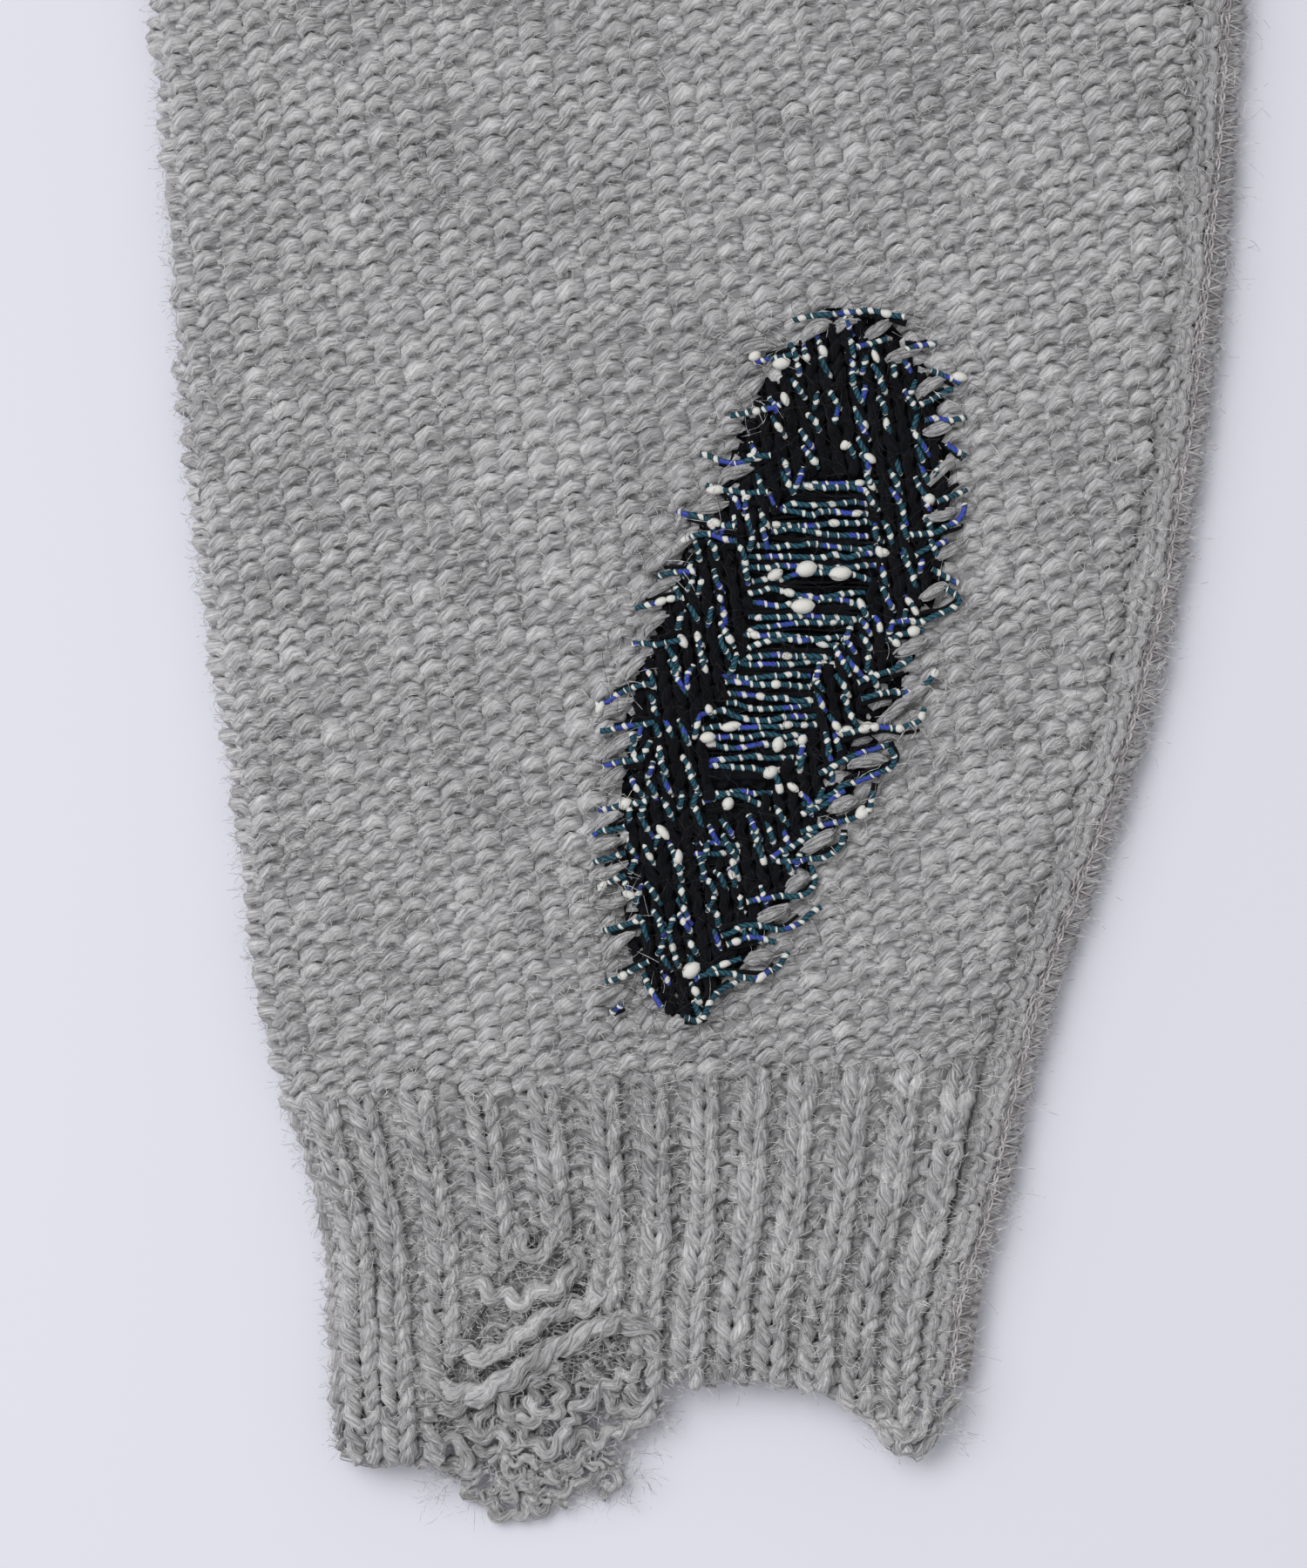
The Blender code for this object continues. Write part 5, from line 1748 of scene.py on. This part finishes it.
    def _bare(self, across: float, along: float) -> bool:
        """Return whether no wool lies here: in the darn, or off the worn edge."""
        in_darn = self.darn.holds(np.array([across * MM]), np.array([along * MM]), 1.5 * MM)[0]
        return bool(in_darn) or (along < 1 and -33 < across < 33)

    def _hair(self, bundle: YarnBundle, place: tuple, lie: tuple, rng: Rng) -> None:
        """Add one curved hair that starts here, with this (heading, length, height)."""
        heading, length, height = lie
        share = np.linspace(0, 1, 4)
        angle = heading + rng.normal(0, 0.9) * share
        step = length / 3
        flat = np.cumsum(np.c_[np.cos(angle), np.sin(angle)] * step, axis=0) + place
        rise = height + rng.uniform(0, 1.1) * np.sin(share * math.pi)
        bundle.add(self.sleeve.lay_path(np.c_[flat, rise] * MM), rng.uniform(0.018, 0.038) * MM)


@dataclass
class Studio:
    """The floor, the lamps and the camera.

    Attributes:
        frame_height: how much of the sleeve's length the camera sees.
        distance: how high the camera hangs.
        middle_along: the place along the sleeve in the middle of its view.
        floor_size: half the floor's width.
        floor_below: how far the floor lies below the sweater.
        sun, near, sky: the strengths of the key lamp, the near lamp and the light from all round.
    """

    frame_height: float = 270 * MM
    distance: float = 1.1
    middle_along: float = 105 * MM
    floor_size: float = 6
    floor_below: float = 0.2 * MM
    sun: float = 1.2
    near: float = 1.0
    sky: float = 0.5

    def build(self, sleeve: SleeveMap) -> None:
        """Make the floor, the lamps and the camera over the sleeve's end."""
        self._floor()
        target = Vector(sleeve.lay(np.array([0.0]), np.array([self.middle_along]), 0.0)[0])
        self._camera(target)
        self._lamps(target)
        bpy.context.scene.view_settings.view_transform = "Standard"

    def _floor(self) -> None:
        """Make the paper, much larger than the sweater."""
        bm = bmesh.new()
        bmesh.ops.create_grid(bm, x_segments=1, y_segments=1, size=self.floor_size)
        mesh = bpy.data.meshes.new("floor")
        bm.to_mesh(mesh)
        bm.free()
        floor = put("floor", mesh)
        floor.location.z = -self.floor_below
        mesh.materials.append(FloorFinish().build())
        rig.stage(floor)

    def _camera(self, target: Vector) -> None:
        """Look straight down, with the sleeve's length upright in the view."""
        data = bpy.data.cameras.new("camera")
        data.sensor_width = 36
        data.lens = data.sensor_width * (self.distance - TUBE_HEIGHT) / self.frame_height
        camera = put("camera", data)
        camera.location = target + Vector((0, 0, self.distance))
        camera.rotation_euler = (0, 0, -SLEEVE_SPLAY)
        bpy.context.scene.camera = camera

    def _lamps(self, target: Vector) -> None:
        """Hang a soft key lamp at the view's upper left, a near one at its left, and even light all round."""
        up = Vector((math.sin(SLEEVE_SPLAY), math.cos(SLEEVE_SPLAY), 0))
        right = Vector((math.cos(SLEEVE_SPLAY), -math.sin(SLEEVE_SPLAY), 0))
        key = bpy.data.lights.new("key", "SUN")
        key.angle = math.radians(38)
        key.energy = self.sun
        self._hang(key, target, target - 0.75 * right + 0.8 * up + Vector((0, 0, 1.6)))
        window = bpy.data.lights.new("window", "AREA")
        window.size = 0.5
        window.energy = self.near
        self._hang(window, target, target - 0.45 * right + Vector((0, 0, 0.55)))
        world = bpy.data.worlds.new("studio")
        bpy.context.scene.world = world
        world.use_nodes = True
        background = world.node_tree.nodes["Background"]
        background.inputs["Color"].default_value = (1, 1, 1, 1)
        background.inputs["Strength"].default_value = self.sky

    def _hang(self, light: Light, target: Vector, place: Vector) -> None:
        """Hang a lamp at this place, turned to the target."""
        lamp = put(light.name, light)
        lamp.location = place
        lamp.rotation_euler = (place - target).to_track_quat("Z", "Y").to_euler()


@dataclass(frozen=True)
class Cut:
    """A knitted piece's size before it was sewn, all round on a tube, and what it lies on.

    Attributes:
        node: the solid that stands for it.
        width, length: its flat size, in metres.
        area: its cloth, in square metres.
        rests_on: what it lies on.
    """

    node: str
    width: float
    length: float
    area: float
    rests_on: tuple[str, ...] = ("floor",)


CUTS = (
    Cut("back", 0.572, 0.607, 0.310),
    Cut("front", 0.572, 0.607, 0.299, ("back",)),
    Cut("hem_back", 0.540, 0.072, 0.0385),
    Cut("hem_front", 0.540, 0.072, 0.0385, ("hem_back",)),
    Cut("neckband", 0.496, 0.024, 0.0105, ("back",)),
    Cut("sleeve_right", 0.420, 0.614, 0.1985),
    Cut("sleeve_left", 0.420, 0.614, 0.1985),
    Cut("cuff_right", 0.242, 0.067, 0.0118),
    Cut("cuff_left", 0.242, 0.067, 0.0142),
)


def pull_up(along: Array, limit: Array | float, reach: float) -> Array:
    """Return places with those below the limit drawn up, to this far below it at most."""
    below = np.clip(limit - along, 0, None)
    return np.where(below > 0, limit - reach * np.tanh(below / reach), along)


@dataclass
class Sweater:
    """The garment's cut pieces and seams, as shells on their solids.

    Attributes:
        right, left: the sleeves.
        sunk: (along, share) rows of the thickness that the right sleeve's cloth keeps under its loops.
        neck: the middle of the neckband.
        neck_ribs: the ribs round the neckband.
        darn_lower: how far the darn's ground is lowered to the foot of its loops.
        seam_in: how far the right sleeve's seam is drawn in under its wool.
        seam_flatter: the share of its height that it loses there.
    """

    right: SleeveMap = field(default_factory=lambda: SleeveMap(Side.RIGHT))
    left: SleeveMap = field(default_factory=lambda: SleeveMap(Side.LEFT))
    sunk: tuple = ((42 * MM, 0.48), (60 * MM, 0.74), (LOOPS_END[0], 0.74), (LOOPS_END[1], 1.0))
    neck: tuple[float, float] = (0.0, 290 * MM)
    neck_ribs: int = 66
    darn_lower: float = 2.1 * MM
    seam_in: float = 1.1 * MM
    seam_flatter: float = 0.25

    def build(self) -> dict[str, Object]:
        """Make every shell.

        Returns:
            The pieces by their solid's name.
        """
        # Each finish blends towards its dark colour in the hollows between stitches as painted shade, and at random as
        # the wool's own tone.
        looks = (
            ClothFinish(Knitting.PURL, (0.30, 0.295, 0.305, 1), (0.70, 0.69, 0.705, 1)),
            ClothFinish(Knitting.RIB, (0.17, 0.167, 0.173, 1), (0.60, 0.594, 0.604, 1)),
            ClothFinish(Knitting.DARNED, (0.002, 0.002, 0.003, 1), (0.010, 0.011, 0.014, 1), 0.02),
            ClothFinish(Knitting.SERGED, (0.20, 0.185, 0.19, 1), (0.50, 0.475, 0.48, 1)),
        )
        finishes = {look.knitting: look.build() for look in looks}
        pieces = {shell.node: shell.build(finishes) for shell in self._shells()}
        for name, piece in pieces.items():
            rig.ride(piece, "root")
            slot = "overlock_thread" if "seam" in name else "wool"
            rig.slot(piece, "darning_yarn" if name == "darn_patch" else slot)
        return pieces

    def declare(self, pieces: dict, carried: dict[str, list]) -> None:
        """Declare each knitted piece as a sheet.

        Args:
            pieces: The shells by their solid's name.
            carried: The separate pieces on a shell, by the solid's name.
        """
        for cut in CUTS:
            size = (cut.width, cut.length)
            others = carried.get(cut.node, [])
            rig.sheet(pieces[cut.node], size, "laid", cut.rests_on, cut.area, others)

    def _shells(self) -> list[Shell]:
        """Return every shell, with how it is knitted."""
        ribbed, fine, sharp = (RIB / 4, 12 * MM), (2.4 * MM, 2.4 * MM), 0.4 * MM
        darned = self.right.stitches
        shells = [
            Shell("back", Knitting.PURL, self._body),
            Shell("front", Knitting.PURL, self._body),
            Shell("hem_back", Knitting.RIB, self._hem, spacing=ribbed),
            Shell("hem_front", Knitting.RIB, self._hem, spacing=ribbed),
            Shell("darn_patch", Knitting.DARNED, darned, -SLEEVE_SPLAY, shape=self._sink_darn, rim=sharp),
            Shell("neckband", Knitting.RIB, self._neckband, spacing=fine, ring=self.neck_ribs),
        ]
        for sleeve, side in ((self.right, "right"), (self.left, "left")):
            turn = sleeve.side.value * SLEEVE_SPLAY
            worn = sleeve.side is Side.RIGHT
            sink = self._sink if worn else None
            tuck = self._tuck if worn else None
            beside, upright = self._seam_along(turn + math.pi / 2), self._seam_along(math.pi / 2)
            shells += [
                Shell(f"sleeve_{side}", Knitting.PURL, sleeve.stitches, turn, shape=sink),
                Shell(f"cuff_{side}", Knitting.RIB, sleeve.ribs, turn, ribbed, sink),
                Shell(f"sleeve_seam_{side}", Knitting.SERGED, beside, turn, shape=tuck),
                Shell(f"side_seam_{side}", Knitting.SERGED, upright),
                Shell(f"shoulder_seam_{side}", Knitting.SERGED, self._seam_along(0.0)),
                Shell(f"armhole_seam_{side}", Knitting.SERGED, upright),
            ]
        return shells

    def _body(self, points: Array) -> Array:
        """Return points of the body as (stitches, courses)."""
        return points[:, :2] / (STITCH[0], COURSE[1])

    def _hem(self, points: Array) -> Array:
        """Return points of a hem as (ribs, rows)."""
        return points[:, :2] / (RIB, RIB_ROW)

    def _neckband(self, points: Array) -> Array:
        """Return points of the neckband as (ribs, rows)."""
        x, y = points[:, 0] - self.neck[0], points[:, 1] - self.neck[1]
        angle = np.arctan2(x, y) / TURN
        return np.stack([angle * self.neck_ribs, np.hypot(x, y) / RIB_ROW], -1)

    def _seam_along(self, angle: float) -> Callable[[Array], Array]:
        """Return a seam's (across, stitches), for a seam that runs at this angle."""
        along = np.array((math.cos(angle), math.sin(angle)))
        across = np.array((along[1], -along[0]))
        ways, steps = np.stack([across, along], -1), (RIB_ROW, SERGED_STITCH)
        return lambda points: points[:, :2] @ ways / steps

    def _sink_darn(self, points: Array) -> Array:
        """Draw the darn's ground in to where it is worked solid, and down to the foot of its loops."""
        darn = DarnShape()
        across, along = self.right.unlay(points)
        first, last = darn.sides(along)
        left, right = sides_at(darn.worked, along)
        left, right = left + 0.3 * (first - left), right + 0.55 * (last - right)
        across = left + (across - first) / (last - first) * (right - left)
        return self.right.lay(across, along, points[:, 2] - self.darn_lower)

    def _tuck(self, points: Array) -> Array:
        """Draw the right sleeve's seam in under the ends of wool that lie on it."""
        across, along = self.right.unlay(points)
        along = pull_up(along, 9 * MM, 7 * MM)
        loose = np.interp(along, LOOPS_END, (1.0, 0.0))
        height = points[:, 2] * (1 - self.seam_flatter * loose)
        return self.right.lay(across - self.seam_in * loose, along, height)

    def _sink(self, points: Array) -> Array:
        """Draw the right sleeve's end in towards its own middle, under the loops of yarn that lie on it."""
        across, along = self.right.unlay(points)
        keep = np.interp(along, *np.array(self.sunk).T)
        along = pull_up(along, RibLoops(self.right).worn_edge(across) + 7.5 * MM, 6 * MM)
        centre = self.right.fold(along) + TUBE_ROUND
        across = np.where(across < centre, centre + (across - centre) * keep, across)
        above = points[:, 2] - TUBE_ROUND
        height = TUBE_ROUND + np.where(above > 0, above * keep, above)
        return self.right.lay(across, along, height)


def dress(pieces: Sequence[Object], slot: str) -> None:
    """Let these pieces ride on the sweater and take their finish from a slot."""
    for piece in pieces:
        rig.ride(piece, "root")
        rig.slot(piece, slot)


def main() -> None:
    """Build the sweater's looks and the studio."""
    sleeve, darn = SleeveMap(), DarnShape()
    Studio().build(sleeve)
    sweater = Sweater()
    pieces = sweater.build()
    yarn = YarnFinish(lean=0.05).build()
    ribbed = YarnFinish("ribbed_wool_yarn", lean=-0.06).build()
    pale = YarnFinish("ravelled_wool_yarn", lean=0.05).build()
    thread = StrandFinish("overlock_thread", (0.38, 0.355, 0.36, 1), (0.62, 0.585, 0.59, 1)).build()
    grey_hair = StrandFinish("grey_hairs", (0.16, 0.16, 0.165, 1), (0.78, 0.77, 0.77, 1), 700.0).build()
    black_hair = StrandFinish("black_hairs", (0.003, 0.003, 0.004, 1), (0.03, 0.03, 0.036, 1), 700.0).build()
    blackest, blacker = (0.002, 0.0023, 0.003, 1), (0.0115, 0.012, 0.0155, 1)
    black = YarnFinish("black_darning_wool", blackest, blacker, sheen=0.03).build()
    loops = KnitLoops(sleeve, darn).build(yarn)
    ribs = RibLoops(sleeve).build(ribbed)
    damage = CuffDamage(sleeve).build(pale)
    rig.replaces(damage["run_ladders"], "loose_strand_1", "loose_strand_2", "loose_strand_3")
    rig.replaces(damage["cuff_ravels"], "cuff_fray")
    seam = Overlock(sleeve).build(ribbed, thread)
    mended = Darn(sleeve, darn).build(black, SlubFinish().build(), pale)
    *hairs, dark_hairs = Fuzz(sleeve, darn).build(grey_hair, black_hair)
    on_sleeve = [*loops, seam["seam_roll"], mended["loops"], *hairs]
    on_cuff = [ribs, *damage.values()]
    stitched = [mended["columns"], mended["slubbed"], dark_hairs]
    dress(on_sleeve + on_cuff, "wool")
    dress(stitched, "darning_yarn")
    dress([seam["seam_threads"]], "overlock_thread")
    on_sleeve += [*stitched, seam["seam_threads"], pieces["darn_patch"], pieces["sleeve_seam_right"]]
    sweater.declare(pieces, {"sleeve_right": on_sleeve, "cuff_right": on_cuff})


if __name__ == "__main__":
    logging.basicConfig(level=logging.INFO, format="%(message)s")
    main()
    with open("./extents.json", "w") as sizes:
        json.dump({"cad": CAD_BOX, "visual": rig.bounds()}, sizes, default=list)
